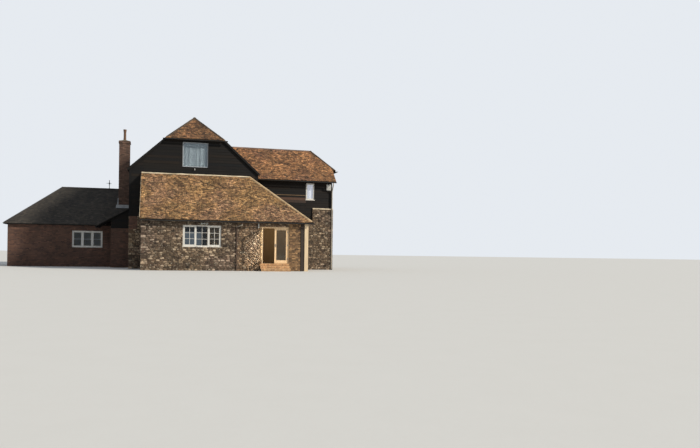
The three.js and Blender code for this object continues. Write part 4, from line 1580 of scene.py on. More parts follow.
@dataclass
class BoardedWall(Facing):
    """Lapped weatherboards on one face of a wall."""

    trims: tuple[bool, bool] = (True, True)  # ends of the face that have an upright corner board, as low and high
    faded: Bounds = (0.0, 0.0, 0.0, 0.0)  # low and high X and low and high Z of boards that have lost their stain
    course: float = 0.165  # how much of each board shows
    lap: float = 0.03  # how far a board runs up behind the next
    toe: float = 0.026  # thickness at a board's lower edge
    head: float = 0.009  # thickness at its upper edge
    uneven: float = 0.0012  # how much that varies
    back: float = -0.002  # how far its back stands off the wall
    longest: float = 4.2  # length of the longest board
    gap: float = 0.0015  # half the gap between two boards end to end
    # how far a corner board covers the face, how far it reaches past it and its thickness
    trim: tuple[float, float, float] = (0.09, 0.03, 0.034)

    def _boards(self, part: Polygon) -> Iterable[Polygon]:
        """Cuts part of a course into boards of chance lengths.

        Args:
            part: Outline of the part.

        Yields:
            The outline of each board.
        """
        us = [u for u, _ in part]
        joints = [min(us)]
        while joints[-1] < max(us):
            joints.append(joints[-1] + self.rng.uniform(0.45, 1.0) * self.longest)
        for start, end in zip(joints, joints[1:]):
            board = cut(cut(part, -1, 0, -start - self.gap), 1, 0, end - self.gap)
            if len(board) > 2 and area(board) >= SPECK_OF_AREA:
                yield board

    def build(self) -> None:
        """Builds the boards and the corner trims."""
        region = self.region.levelled()
        left, right, low, high = region.limits()
        x0, x1, z0, z1 = self.faded
        whole = self.course + self.lap
        z = low
        while z < high:
            strip = rectangle(left - 0.01, right + 0.01, z, z + whole)
            for board in (b for part in region.panels(strip) for b in self._boards(part)):
                share = (np.array(board)[:, 1] - z) / whole
                front = self.toe + (self.head - self.toe) * share + self.rng.normal(0, self.uneven)
                x, _, up = self.facet.middle(board)
                faded = bool(x0 < x < x1 and z0 < up < z1)
                tone = (up - z0) / (z1 - z0) if faded else float(self.rng.random())
                self.stock.prism(self.facet, board, self.back, front, 2 * faded, tone)
            z += self.course
        cover, past, thick = self.trim
        for at_high_end, wanted in enumerate(self.trims):
            u0, u1 = (right - cover, right + past) if at_high_end else (left - past, left + cover)
            corner = rectangle(u0, u1, low - 0.01, high)
            for part in Region(region.widened(past).outlines).trim(corner) if wanted else ():
                self.stock.prism(self.facet, part, self.back, thick, 1, 0.4)
        self.stock.piece(self.name, [BLACK_BOARD, BLACK_TRIM, FADED_BOARD], "boards")


# ---- windows


def framing(u0: float, u1: float, v0: float, v1: float, wide: float, foot: float | None = None) -> list[Bounds]:
    """Splits a rectangular frame into its left, right, upper and lower member, the last as wide as foot says."""
    low = (u0 + wide, u1 - wide, v0, v0 + (wide if foot is None else foot))
    return [(u0, u0 + wide, v0, v1), (u1 - wide, u1, v0, v1), (u0 + wide, u1 - wide, v1 - wide, v1), low]


@dataclass
class Window:
    """A timber window with glazing bars."""

    node: str
    side: Side
    lights: int = 1
    panes: tuple[int, int] = (1, 1)  # panes across and up in each light
    finish: Wood = WHITE_PAINT
    member: float = 0.06  # width of the outer frame
    sash: float = 0.042  # width of a light's own frame, or nothing for fixed glass
    bar: float = 0.02
    gap: float = 0.003  # room round a light's own frame
    deep: float = 0.069  # how far back the frame reaches
    glazed: bool = False  # whether it carries its own glass
    sill: float = 0.05  # how far its sill stands out
    fixed: tuple[int, ...] = ()  # lights whose glass is fixed in the outer frame
    sash_depth: tuple[float, float] = (-0.036, 0.008)  # back and front of a light's own frame
    bar_depth: tuple[float, float] = (-0.03, -0.006)  # back and front of a glazing bar
    glass_depth: tuple[float, float] = (-0.048, -0.042)  # back and front of its own glass
    rebate: float = 0.005  # how far its own glass runs into the frame

    def _light(self, box: Bounds, fixed: bool) -> list[Member]:
        """Lays out a light's own frame and its bars.

        Args:
            box: The light's low and high u and v.
            fixed: Whether its glass is fixed in the outer frame.

        Returns:
            Its members.
        """
        u0, u1, v0, v1 = box
        parts: list[Member] = []
        if self.sash and not fixed:
            u0, u1, v0, v1 = u0 + self.gap, u1 - self.gap, v0 + self.gap, v1 - self.gap
            parts += [(member, *self.sash_depth, 0.005) for member in framing(u0, u1, v0, v1, self.sash)]
            u0, u1, v0, v1 = u0 + self.sash, u1 - self.sash, v0 + self.sash, v1 - self.sash
        half = self.bar / 2
        across, up = self.panes
        for u in (u0 + (u1 - u0) * k / across for k in range(1, across)):
            parts.append(((u - half, u + half, v0, v1), *self.bar_depth, 0.006))
        for v in (v0 + (v1 - v0) * k / up for k in range(1, up)):
            parts.append(((u0, u1, v - half, v + half), *self.bar_depth, 0.006))
        return parts

    def build(self) -> None:
        """Builds the frame, lights, bars and sill."""
        facet = wall_facet(self.node, self.side)
        u0, u1, v0, v1 = facet.span(*box_of(self.node))
        turn = Matrix((facet.u, facet.v, facet.n)).transposed().to_4x4()
        turn.translation = facet.n * facet.offset
        m, deep = self.member, -self.deep
        parts: list[Member] = [(box, deep, 0.0, 0.003) for box in framing(u0, u1, v0, v1, m)]
        parts.append(((u0 - 0.03, u1 + 0.03, v0 - 0.035, v0 + 0.004), deep, self.sill, 0.006))
        pitch = (u1 - u0 - m) / self.lights
        for u in (u0 + i * pitch for i in range(1, self.lights)):
            parts.append(((u, u + m, v0 + m, v1 - m), -0.04, 0.0, 0.003))
        for i in range(self.lights):
            parts += self._light((u0 + m + i * pitch, u0 + (i + 1) * pitch, v0 + m, v1 - m), i in self.fixed)
        stock = Stock()
        for (a0, a1, b0, b1), back, front, chamfer in parts:
            stock.beam((a0, b0, back), (a1, b1, front), chamfer, 0, 0.3, turn)
        if self.glazed:
            (back, front), edge = self.glass_depth, m - self.rebate
            stock.beam((u0 + edge, v0 + edge, back), (u1 - edge, v1 - edge, front), 0.001, 1, 0.5, turn)
        finishes = [self.finish, CLEAR_GLASS] if self.glazed else [self.finish]
        stock.piece(f"{self.node}_joinery", finishes, "paint", [self.node])


@dataclass
class HungCloth:
    """A curtain or a blind behind a window."""

    name: str
    window: str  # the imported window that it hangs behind
    finish: Cloth
    depth: float  # distance of its middle behind the window's face
    folds: int = 0
    swing: float = 0.0  # how far the folds swing forward and back
    replaces: tuple[str, ...] = ()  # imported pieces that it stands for
    held: str = "gathered"
    inset: float = 0.02  # room left at each side
    thick: float = 0.0006  # half its thickness
    rows: int = 24  # corners up its height

    def _grid(self) -> tuple[Array, Array, Array]:
        """Lays out the cloth.

        Returns:
            X, Y and Z of its corners, with a row for each level.
        """
        low, high = box_of(self.window)
        columns = max(2, self.folds * 14 + 1)
        s = np.linspace(0, 1, columns)
        across, up = np.meshgrid(s, np.linspace(0, 1, self.rows))
        rng = np.random.default_rng(7)
        phase = np.cumsum(rng.uniform(0.75, 1.25, columns) * (1 + 0.5 * np.sin(11 * s)))
        phase = (phase - phase[0]) / (phase[-1] - phase[0]) * 2 * math.pi * max(self.folds, 1)
        gathered = 1.0 if self.folds else 0.0
        fold = gathered * np.sin(phase[None, :] + 0.4 * np.sin(3 * up + 2 * across))
        x = low[0] + self.inset + across * (high[0] - low[0] - 2 * self.inset)
        x = x + gathered * 0.006 * np.cos(2 * phase[None, :])
        y = low[1] + self.depth + self.swing * (0.75 + 0.25 * (1 - up)) * fold
        bottom, top = low[2] + 0.03, high[2] - 0.02
        return x, y, bottom + up * (top - bottom)

    def build(self) -> None:
        """Builds the cloth as one thin sheet and logs its flat size."""
        x, y, z = self._grid()
        sheet = np.stack((x, y, z), axis=-1).reshape(-1, 3)
        grid = np.arange(x.size).reshape(x.shape)
        corners = (grid[:-1, :-1], grid[:-1, 1:], grid[1:, 1:], grid[1:, :-1])
        front = np.stack(corners, axis=-1).reshape(-1, 4)
        rim = np.concatenate((grid[0, :], grid[1:, -1], grid[-1, -2::-1], grid[-2:0:-1, 0]))
        after = np.roll(rim, -1)
        edge = np.column_stack((rim, rim + x.size, after + x.size, after))
        half = self.thick * BACK
        stock = Stock()
        stock.add(np.concatenate((sheet - half, sheet + half)), [front, front[:, ::-1] + x.size, edge])
        piece = stock.piece(self.name, [self.finish], "cloth", self.replaces, smooth=True)
        row = np.stack((x[self.rows // 2], y[self.rows // 2]), axis=-1)
        flat_width = float(np.linalg.norm(np.diff(row, axis=0), axis=1).sum())
        tall = float(z.max() - z.min())
        LOG.info("%s is cut %.2f by %.2f m", self.name, flat_width, tall)


# ---- glazed doors


@dataclass
class DoorLeaf:
    """One glazed leaf of the double doors."""

    node: str
    body: str
    joint: str
    way: int  # one for a leaf hung on its left, minus one on its right
    angle: float  # how far it is turned at rest, in degrees
    width: float = 0.756
    stile: float = 0.09  # width of its uprights and top rail
    bottom: float = 0.18  # height of its bottom rail
    bead: float = 0.012  # width of the beads that hold its glass
    thick: float = 0.044
    knuckle: float = 0.008  # distance of the hinge line in front of its face
    clear: float = 0.003  # distance of the hinge line from its edge
    lever: float = 1.06

    def __post_init__(self) -> None:
        """Finds where the leaf hangs and how tall it is."""
        low, high = box_of(self.node)
        self.height = float(high[2] - low[2])
        hinge = next(j for j in frame["joints"] if j["name"] == self.joint)["pos_m"]
        upright = Matrix.Rotation(math.radians(self.angle), 4, "Z")
        self.turn = Matrix.Translation((hinge[0], hinge[1], low[2])) @ upright
        self.stock = Stock()

    def _member(self, box: Bounds, near: float, far: float, chamfer: float = 0.003, slot: int = 0) -> None:
        """Adds a squared piece.

        Args:
            box: Its low and high distance from the hung edge and its low and high height.
            near: Distance of its front behind the hinge line.
            far: Distance of its back.
            chamfer: Width taken off each edge.
            slot: Material slot.
        """
        x0, x1, z0, z1 = box
        left, right = sorted((self.way * (self.clear + x0), self.way * (self.clear + x1)))
        tone = 0.2 + 0.6 * ((x0 * 7 + z0 * 3) % 1)
        self.stock.beam((left, near, z0), (right, far, z1), chamfer, slot, tone, self.turn)

    def _bar(self, path: Sequence[Sequence[float]], radius: float) -> None:
        """Adds a round metal bar along a path of the leaf's own."""
        self.stock.rod([self.turn @ Vector(point) for point in path], radius, slot=1)

    def build(self) -> None:
        """Builds the stiles, rails, beads, hinges and handle."""
        front, back = self.knuckle, self.knuckle + self.thick
        w, s, height = self.width, self.stile, self.height
        for box in framing(0, w, 0, height, s, self.bottom):
            self._member(box, front, back)
        for near in (front + 0.002, back - 0.012):
            for box in framing(s, w - s, self.bottom, height - s, self.bead):
                self._member(box, near, near + 0.01, 0.004)
        self._member((0.01, w - 0.01, 0.03, 0.07), front - 0.018, front + 0.004, 0.008)
        for z in (0.22, height / 2, height - 0.25):
            self._bar([(0, 0, z), (0, 0, z + 0.09)], 0.0065)
            self._member((-0.002, 0.03, z, z + 0.09), front - 0.0025, front + 0.002, 0.001, 1)
        x = w - s / 2
        bar_x = self.way * (self.clear + x)
        for face, sign in ((front, -1), (back, 1)):
            near, far = sorted((face, face + sign * 0.006))
            self._member((x - 0.02, x + 0.02, 0.93, 1.13), near, far, 0.002, 1)
            grip = (bar_x, face + sign * 0.035, self.lever)
            self._bar([(bar_x, face + sign * 0.004, self.lever), grip], 0.008)
            self._bar([grip, (bar_x - self.way * 0.11, face + sign * 0.038, self.lever - 0.004)], 0.008)
        self.stock.piece(f"{self.node}_joinery", [PALE_OAK, GALVANISED], "oak", [self.node], self.body)


@dataclass
class DoorSurround:
    """The frame round the glazed doors."""

    jamb: float = 0.07  # width of the frame's uprights and head
    stop: float = 0.012  # how far the stop stands in behind the leaves
    rebate: float = 0.05  # depth of the stop's face behind the frame's

    def build(self) -> None:
        """Builds the frame with its stops."""
        (x0, front, z0), (x1, back, z1) = box_of("door_frame")
        j = self.jamb
        outer = framing(x0, x1, z0, z1, j)
        inner = framing(x0 + j, x1 - j, z0, z1 - j, self.stop)
        stock = Stock()
        for boxes, near, chamfer, tones in (
            (outer, front, 0.004, (0.2, 0.7, 0.45)),
            (inner, front + self.rebate, 0.003, (0.3, 0.6, 0.5)),
        ):
            for (a0, a1, b0, b1), tone in zip(boxes, tones):
                stock.beam((a0, near, b0), (a1, back, b1), chamfer, 0, tone)
        stock.piece("door_surround", [PALE_OAK], "oak", ["door_frame"])


@dataclass
class BrickSteps:
    """Bricks on edge over the doorsteps."""

    size: tuple[float, float, float] = (0.215, 0.065, 0.1025)  # length, width and height of a brick on edge
    joint: float = 0.01
    rise: float = 0.008  # how far the bricks stand out of their bed
    flush: float = 0.0025  # how far those that the doors pass over stand out
    tread: float = 0.34  # deepest part of a tread that is covered
    inset: float = 0.004  # how far the bricks' faces draw in
    least: float = 0.03  # length of the shortest piece of a brick
    shift: float = 0.08  # how far the lower course of a riser is shifted
    under: float = 0.002  # how far it stands in under the upper one

    def __post_init__(self) -> None:
        """Sets out what the bricks need."""
        self.rng, self.stock = np.random.default_rng(31), Stock()

    def _row(self, u0: float, u1: float, wide: float) -> Iterable[Point]:
        """Yields the low and high u of the bricks of a row, cut back to its ends."""
        for u in np.arange(u0, u1, wide + self.joint):
            yield float(u), float(min(u + wide, u1))

    def _brick(self, facet: Facet, outline: Polygon, rise: float, tone: float = 0.0, spread: float = 0.4) -> None:
        """Adds one brick, whose tone strays up from the given one."""
        tone += spread * self.rng.random()
        self.stock.pillow(facet, outline, rise, self.inset, tone=tone, square=True)

    def build(self) -> None:
        """Builds the bricks of each tread and of the risers."""
        length, width, height = self.size
        sides = facets("door_steps")
        tops = [f for f in sides if f.n[2] > 0.99]
        highest = max(tops, key=lambda f: f.offset)
        for facet in tops:
            u0, u1, v0, v1 = facet.region.limits()
            depth = min(v1 - v0, self.tread)
            rise = self.flush if facet is highest else self.rise
            splits = [v0 - self.rise, min(v0 + length, v0 + depth)] + [v0 + depth] * (depth > length + self.least)
            for start, end in self._row(u0, u1, width):
                for a, b in zip(splits, splits[1:]):
                    self._brick(facet, rectangle(start, end, a, b - self.joint), rise, 0.5, 0.5)
        for facet in (f for f in sides if f.n[1] < -0.99):
            u0, u1, v0, v1 = facet.region.limits()
            for start, end in self._row(u0, u1, width):
                self._brick(facet, rectangle(start, end, v1 - height, v1), self.rise)
            for start, end in self._row(u0 - self.shift, u1, length):
                start = max(start, u0)
                if end - start > self.least:
                    self._brick(facet, rectangle(start, end, v0, v1 - height - self.joint), self.rise - self.under)
        self.stock.piece("step_bricks", [STEP_BRICK], "brick")


# ---- chimney and trims


@dataclass
class Chimney:
    """The bricks, mortar cap, pot and lead of the chimney."""

    head: float = 0.15  # height of the wider courses at its head
    step: float = 0.034  # how far they stand out
    rim: float = 0.04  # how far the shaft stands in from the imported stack
    apron: float = 0.15  # how far the lead reaches out on the roof

    def _faces(self, low: Array, high: Array) -> Iterable[Facet]:
        """Finds the four upright faces of a box.

        Args:
            low: Its lowest corner.
            high: Its highest corner.

        Yields:
            Each face.
        """
        for side in Side:
            n = side.way()
            u = np.cross(UP, n)
            u0, u1 = sorted((float(low @ u), float(high @ u)))
            outline = rectangle(u0, u1, float(low[2]), float(high[2]))
            yield Facet(u, UP, n, float(max(low @ n, high @ n)), Region([outline]))

    def bricks(self) -> None:
        """Builds the shaft with its wider head and lays bricks over both."""
        low, high = box_of("chimney_stack")
        rim, step = (width * np.array((1.0, 1.0, 0.0)) for width in (self.rim, self.step))
        shaft = low + rim, high - rim - (0.0, 0.0, self.head)
        head = np.array((*(shaft[0] - step)[:2], shaft[1][2])), np.array((*(shaft[1] + step)[:2], high[2]))
        stock = Stock()
        wall = BrickWall("", "chimney_stack", Side.FRONT, flemish=False)
        wall.rng, wall.stock = np.random.default_rng(41), stock
        for box in (shaft, head):
            stock.beam(*box, 0.002, 1)
            for facet in self._faces(*box):
                wall.lay(facet, facet.region.widened(0.005))
        stock.piece("chimney_bricks", [STOCK_BRICK, LIME_MORTAR], "brick", ["chimney_stack"])

    def cap(self) -> None:
        """Builds the mortar that holds the pot and throws off rain."""
        low, high = box_of("chimney_stack")
        pot_low, pot_high = box_of("chimney_pot")
        middle = (pot_low + pot_high)[:2] / 2
        radius = (pot_high[0] - pot_low[0]) / 2 * 0.82
        half = (high[0] - low[0]) / 2 - 0.03
        rim = circle(24)
        square = rim / np.abs(rim).max(1, keepdims=True)
        sections = []
        for share, z in ((0.0, 0.0), (0.0, 0.02), (0.35, 0.045), (0.75, 0.085), (1.0, 0.13)):
            ring = middle + square * half * (1 - share) + rim * radius * share
            sections.append(np.column_stack((ring, np.full(24, high[2] + z))))
        stock = Stock()
        stock.loft(sections)
        stock.piece("chimney_mortar_cap", [BED_MORTAR], "brick")

    def pot(self) -> None:
        """Builds the pot with a rolled rim and a foot ring."""
        low, high = box_of("chimney_pot")
        middle = (low + high)[:2] / 2
        widest = (high[0] - low[0]) / 2
        tall = high[2] - low[2]
        profile = [
            (0.048, 0.0), (0.105, 0.0), (0.1, 0.05), (0.088, 0.1), (0.083, 0.3), (0.08, 0.6), (0.082, tall - 0.17),
            (0.096, tall - 0.15), (0.1, tall - 0.135), (0.09, tall - 0.115), (0.098, tall - 0.075),
            (widest, tall - 0.03), (widest, tall - 0.008), (0.1, tall), (0.06, tall), (0.05, tall - 0.02),
            (0.048, tall - 0.2),
        ]
        stock = Stock()
        rings = [np.column_stack((middle + r * circle(28), np.full(28, low[2] + z))) for r, z in profile]
        stock.loft(rings, closed=True)
        stock.piece("chimney_pot_rolled", [TERRACOTTA], "terracotta", ["chimney_pot"], smooth=True)

    def flashing(self) -> None:
        """Builds the lead apron in front of the stack and the steps up its sides."""
        low, high = box_of("chimney_stack")
        facet = roof_facet("range_roof_front")
        steep, base = float(-facet.n[1] / facet.n[2]), float(facet.offset / facet.n[2])
        (x0, y0), (x1, y1) = low[:2] + self.rim, high[:2] - self.rim
        middle = (x0 + x1) / 2
        stock = Stock()
        ys = y0 - np.array((0.15, 0.08, 0.015, 0.012))
        zs = base + steep * ys + 0.012
        zs[3] = base + steep * y0 + 0.1
        for a, b in ((x0 - self.apron, middle + 0.03), (middle, min(x1 + self.apron, at(-0.03, 0, 0)[0]))):
            sections = []
            for x in np.linspace(a, b, 6):
                upper = np.column_stack((np.full(4, x), ys, zs))
                sections.append(np.concatenate((upper + (0.0, 0.006, -0.006), upper[::-1])))
            stock.loft(sections)
        for x, out in ((x0, -1), (x1, 1)):
            near, far = sorted((x, x + out * 0.012))
            y = y0
            while y < y1 - 0.02:
                step = min(0.13, y1 - y)
                foot = base + steep * y
                stock.beam((near, y, foot - 0.05), (far, y + step + 0.02, foot + 0.09 + steep * 0.06), 0.002)
                y += step
            near, far = sorted((x, x + out * 0.08))
            strip = np.array([(u, v, base + steep * v) for u, v in rectangle(near, far, y0, y1)])
            stock.loft([strip, strip + 0.012 * UP])
        stock.piece("chimney_flashing", [LEAD], "brick")

    def build(self) -> None:
        """Builds every piece of the chimney."""
        self.bricks()
        self.cap()
        self.pot()
        self.flashing()


@dataclass
class Fillet:
    """A strip along an edge: a mortar fillet, the weathering of a ledge or a board up a verge."""

    name: str
    start: tuple[float, float, float]
    end: tuple[float, float, float]
    # its corners, each as a distance out of the wall and a height, anticlockwise along the line
    section: tuple[Point, ...]
    out: Side  # the way out of the wall
    seed: int
    finish: Finish = CREAM_FILLET
    slot: str = "ragstone"  # the name of a material slot, handed on to the piece
    waver: float = 0.004  # how unevenly its edges run
    step: float = 0.22  # longest distance between two of its sections

    def build(self) -> None:
        """Builds the strip with slightly wavering edges."""
        rng = np.random.default_rng(self.seed)
        start, end = at(*self.start), at(*self.end)
        count = max(2, int(np.linalg.norm(end - start) / self.step) + 1)
        out = self.out.way()
        shape = np.array(self.section)
        sections = []
        for t in np.linspace(0, 1, count):
            waver = rng.normal(0, self.waver, shape.shape)
            waver[shape[:, 0] <= 0.001] = 0.0
            sections.append(start + (end - start) * t + (shape + waver) @ np.array((out, UP)))
        if np.cross(end - start, out) @ UP > 0:
            sections = [s[::-1] for s in sections]
        stock = Stock()
        stock.loft(sections)
        stock.piece(self.name, [self.finish], self.slot)


# The walls' faces that the rooms show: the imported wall, the way the face looks, its distance from the
# tall block's corner, and how far the plaster runs along it.
ROOM_FACES = """
front_wall FRONT 0.0 1.19 7.4
wing_front_wall FRONT 0.82 7.4 9.52
lean_to_wall_left BACK -2.55 1.19 7.2
lean_to_wall_left RIGHT 1.19 -2.55 0.0
lean_to_wall_over_door BACK -2.55 7.2 8.87
lean_to_wall_right LEFT 9.52 -2.55 0.82
front_wall BACK 0.45 0.45 6.95
side_and_back_walls RIGHT 0.45 0.45 10.05
side_and_back_walls LEFT 6.95 5.31 10.05
side_and_back_walls FRONT 10.05 0.45 6.95
wing_front_wall BACK 1.27 6.95 11.91
wing_end_and_back_walls FRONT 5.31 7.4 11.91
wing_end_and_back_walls LEFT 11.91 1.27 5.31
range_front_wall BACK 4.58 -6.9 0.0
range_end_and_back_walls FRONT 9.42 -6.9 0.0
range_end_and_back_walls RIGHT -6.9 4.58 9.42
front_gable BACK 0.2 0.2 7.2
back_gable FRONT 10.3 0.2 7.2
left_boarded_wall RIGHT 0.2 0.2 10.3
right_boarded_wall LEFT 7.2 0.2 10.3
wing_front_boarding BACK 1.1 7.4 12.08
wing_end_and_back_boarding FRONT 5.48 7.4 12.08
wing_end_and_back_boarding LEFT 12.08 1.1 5.48
"""


@dataclass
class Lining:
    """The plaster on the walls inside."""

    thick: float = 0.004
    floor: float = 0.42  # height that it starts from
    top: float = 9.0  # height that it stops at, if the wall does not stop before

    def build(self) -> None:
        """Builds the plaster of every room."""
        stock = Stock()
        for row in ROOM_FACES.strip().splitlines():
            node, side, *numbers = row.split()
            where, low, high = (float(number) for number in numbers)
            facet = wall_facet(node, Side[side], where)
            room = rectangle(*facet.span(at(low, low, self.floor), at(high, high, self.top)))
            for part in facet.region.panels(room):
                stock.prism(facet, part, 0.0, self.thick)
        stock.piece("room_plaster", [PLASTER], "ragstone")


class Fittings:
    """Small things fixed to the walls and roofs."""

    def aerial(self) -> None:
        """Builds the aerial on the low range's ridge."""
        x, y, arm = -1.55, 7.0, 5.52
        stock = Stock()
        stock.rod([at(x, y, 5.05), at(x, y, 5.74)], 0.02)
        stock.rod([at(x - 0.16, y - 0.12, arm), at(x + 0.12, y + 0.09, arm)], 0.012, 8)
        stock.beam(at(x - 0.04, y - 0.03, arm - 0.06), at(x + 0.04, y + 0.03, arm + 0.06), 0.006)
        for k in range(6):
            px, py = x - 0.15 + 0.052 * k, y - 0.112 + 0.039 * k
            half = 0.09 - 0.008 * k
            ends = [at(px + s * half * 0.6, py - s * half * 0.8, arm) for s in (-1, 1)]
            stock.rod(ends, 0.005, 6)
        for z in (5.18, 5.38):
            stock.rod([at(x, y, z), at(x, y, z + 0.02)], 0.03, 12)
        stock.piece("ridge_aerial", [BLACK_METAL], "plastic")

    def lamps(self) -> None:
        """Builds the lamp under the gable window and the one beside the doors."""
        stock = Stock()
        x, z = 3.68, 5.93
        stock.beam(at(x - 0.025, -0.06, z - 0.04), at(x + 0.025, -0.02, z + 0.04), 0.006)
        arm = [at(x, -0.05, z), at(x, -0.1, z - 0.02), at(x, -0.125, z - 0.06)]
        stock.rod(arm, (0.012, 0.022, 0.032), 14)
        x, z = 7.1, 2.55
        stock.beam(at(x - 0.03, -3.05, z - 0.1), at(x + 0.03, -3.015, z + 0.1), 0.008)
        shade = [at(x, -3.08, z + 0.13), at(x, -3.085, z + 0.1), at(x, -3.085, z - 0.12)]
        stock.rod(shade, (0.02, 0.034, 0.04), 14)
        stock.piece("wall_lamps", [WHITE_PLASTIC], "paint")

    def spotlight(self) -> None:
        """Builds the twin spotlight over the lean-to window."""
        low, high = box_of("twin_spotlight")
        wall, z = high[1], 2.615
        centre = (low[0] + high[0]) / 2
        spread = (high[0] - low[0]) / 2 - 0.055
        stock = Stock()
        stock.beam((centre - 0.05, wall - 0.035, z - 0.045), (centre + 0.05, wall, z + 0.045), 0.006)
        stock.beam((centre - spread, wall - 0.07, z - 0.012), (centre + spread, wall - 0.03, z + 0.012), 0.004)
        shade = ((0.03, 0.04), (0.07, 0.01), (0.14, -0.03), (0.16, -0.045))
        for x in (centre - spread, centre + spread):
            stock.rod([(x, wall - out, z + up) for out, up in shade], (0.03, 0.038, 0.05, 0.052), 16)
            stock.rod([(x, wall - 0.161, z - 0.0455), (x, wall - 0.165, z - 0.048)], 0.045, 16, 1)
        stock.piece("twin_spotlight_heads", [WHITE_PLASTIC, CLEAR_GLASS], "plastic", ["twin_spotlight"])

    def alarm(self) -> None:
        """Builds the bare alarm box with rounded edges and a lens along its foot."""
        low, high = box_of("alarm_box")
        stock = Stock()
        stock.beam(low + (0.0, 0.012, 0.0), high, 0.012)
        stock.beam(low + (0.03, 0.0, 0.12), (high[0] - 0.03, low[1] + 0.02, high[2] - 0.03), 0.008)
        stock.beam(low + (0.09, 0.002, 0.03), (high[0] - 0.09, low[1] + 0.02, low[2] + 0.085), 0.008)
        stock.piece("alarm_casing", [WHITE_PLASTIC], "paint", ["alarm_box"])

    def _gutter_bands(self, stock: Stock, node: str, axis: int) -> None:
        """Adds the brackets round a gutter.

        Args:
            stock: Where they are added.
            node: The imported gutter.
            axis: The axis along which it runs.
        """
        low, high = box_of(node)
        middle = (low + high) / 2
        outer = 0.0595 if axis == 0 else 0.0555
        count = max(2, int((high[axis] - low[axis]) / 0.9))
        for s in np.linspace(low[axis] + 0.03, high[axis] - 0.03, count + 1):
            sections = []
            for angle in np.linspace(math.pi, 2 * math.pi, 9):
                ring = []
                for r, w in ((outer - 0.004, -0.012), (outer, -0.012), (outer, 0.012), (outer - 0.004, 0.012)):
                    point = middle.copy()
                    point[1 - axis] += r * math.cos(angle)
                    point[2], point[axis] = high[2] + r * math.sin(angle), s + w
                    ring.append(point)
                sections.append(np.array(ring[:: 1 - 2 * axis]))
            stock.loft(sections)

    def brackets(self) -> None:
        """Builds the gutter brackets and the pipe clips."""
        stock = Stock()
        for node, axis in (("lean_to_gutter", 0), ("front_hip_gutter", 0), ("wing_gutter", 0), ("wing_hip_gutter", 1)):
            self._gutter_bands(stock, node, axis)
        for slot, node in enumerate(("lean_to_downpipe", "wing_downpipe")):
            low, high = box_of(node)
            x, wall = low[0] + 0.034, high[1]
            for z in np.arange(0.3, high[2] - 0.5, 1.05):
                stock.rod([(x, wall - 0.034, z), (x, wall - 0.034, z + 0.05)], 0.042, 16, slot)
                stock.beam((x - 0.065, wall - 0.012, z + 0.01), (x + 0.065, wall + 0.004, z + 0.04), 0.003, slot)
        stock.piece("gutter_brackets", [BLACK_METAL, PALE_PIPE], "plastic")

    def boards(self) -> None:
        """Builds the dark board beside the pale corner post, partly a painted shadow of the post, and the pale lath
        across the wing's boards.
        """
        for name, finish, low, high, chamfer in (
            # partly painted shadow: a dark brown board where the corner post's shadow falls on the wall
            ("post_side_board", BROWN_SHADOW_BOARD, at(9.54, -3.03, 0.02), at(9.755, -2.99, 2.74), 0.004),
            ("wing_board_lath", WEATHERED_LATH, at(7.45, 0.862, 4.66), at(10.6, 0.875, 4.7), 0.003),
        ):
            stock = Stock()
            stock.beam(low, high, chamfer)
            stock.piece(name, [finish], "boards")

    def swan_neck(self) -> None:
        """Builds the pale sleeve round the sloping part of the lean-to's downpipe, pale partly as a painted glint of
        sun on the swan neck.
        """
        low, high = box_of("lean_to_downpipe")
        radius = 0.034
        top = (high[0] - radius, low[1] + radius, high[2] - 0.115)
        foot = (low[0] + radius, high[1] - radius, at(0, 0, 2.45)[2])
        stock = Stock()
        # partly painted highlight: the pale sleeve stands for the sun's glint on the brown swan neck as well as a pale
        # neck
        stock.rod([top, foot], radius + 0.004, 16)
        stock.piece("swan_neck_sleeve", [PALE_PIPE], "plastic")

    def build(self) -> None:
        """Builds every fitting."""
        self.swan_neck()
        self.aerial()
        self.lamps()
        self.spotlight()
        self.alarm()
        self.brackets()
        self.boards()


# ---- the house


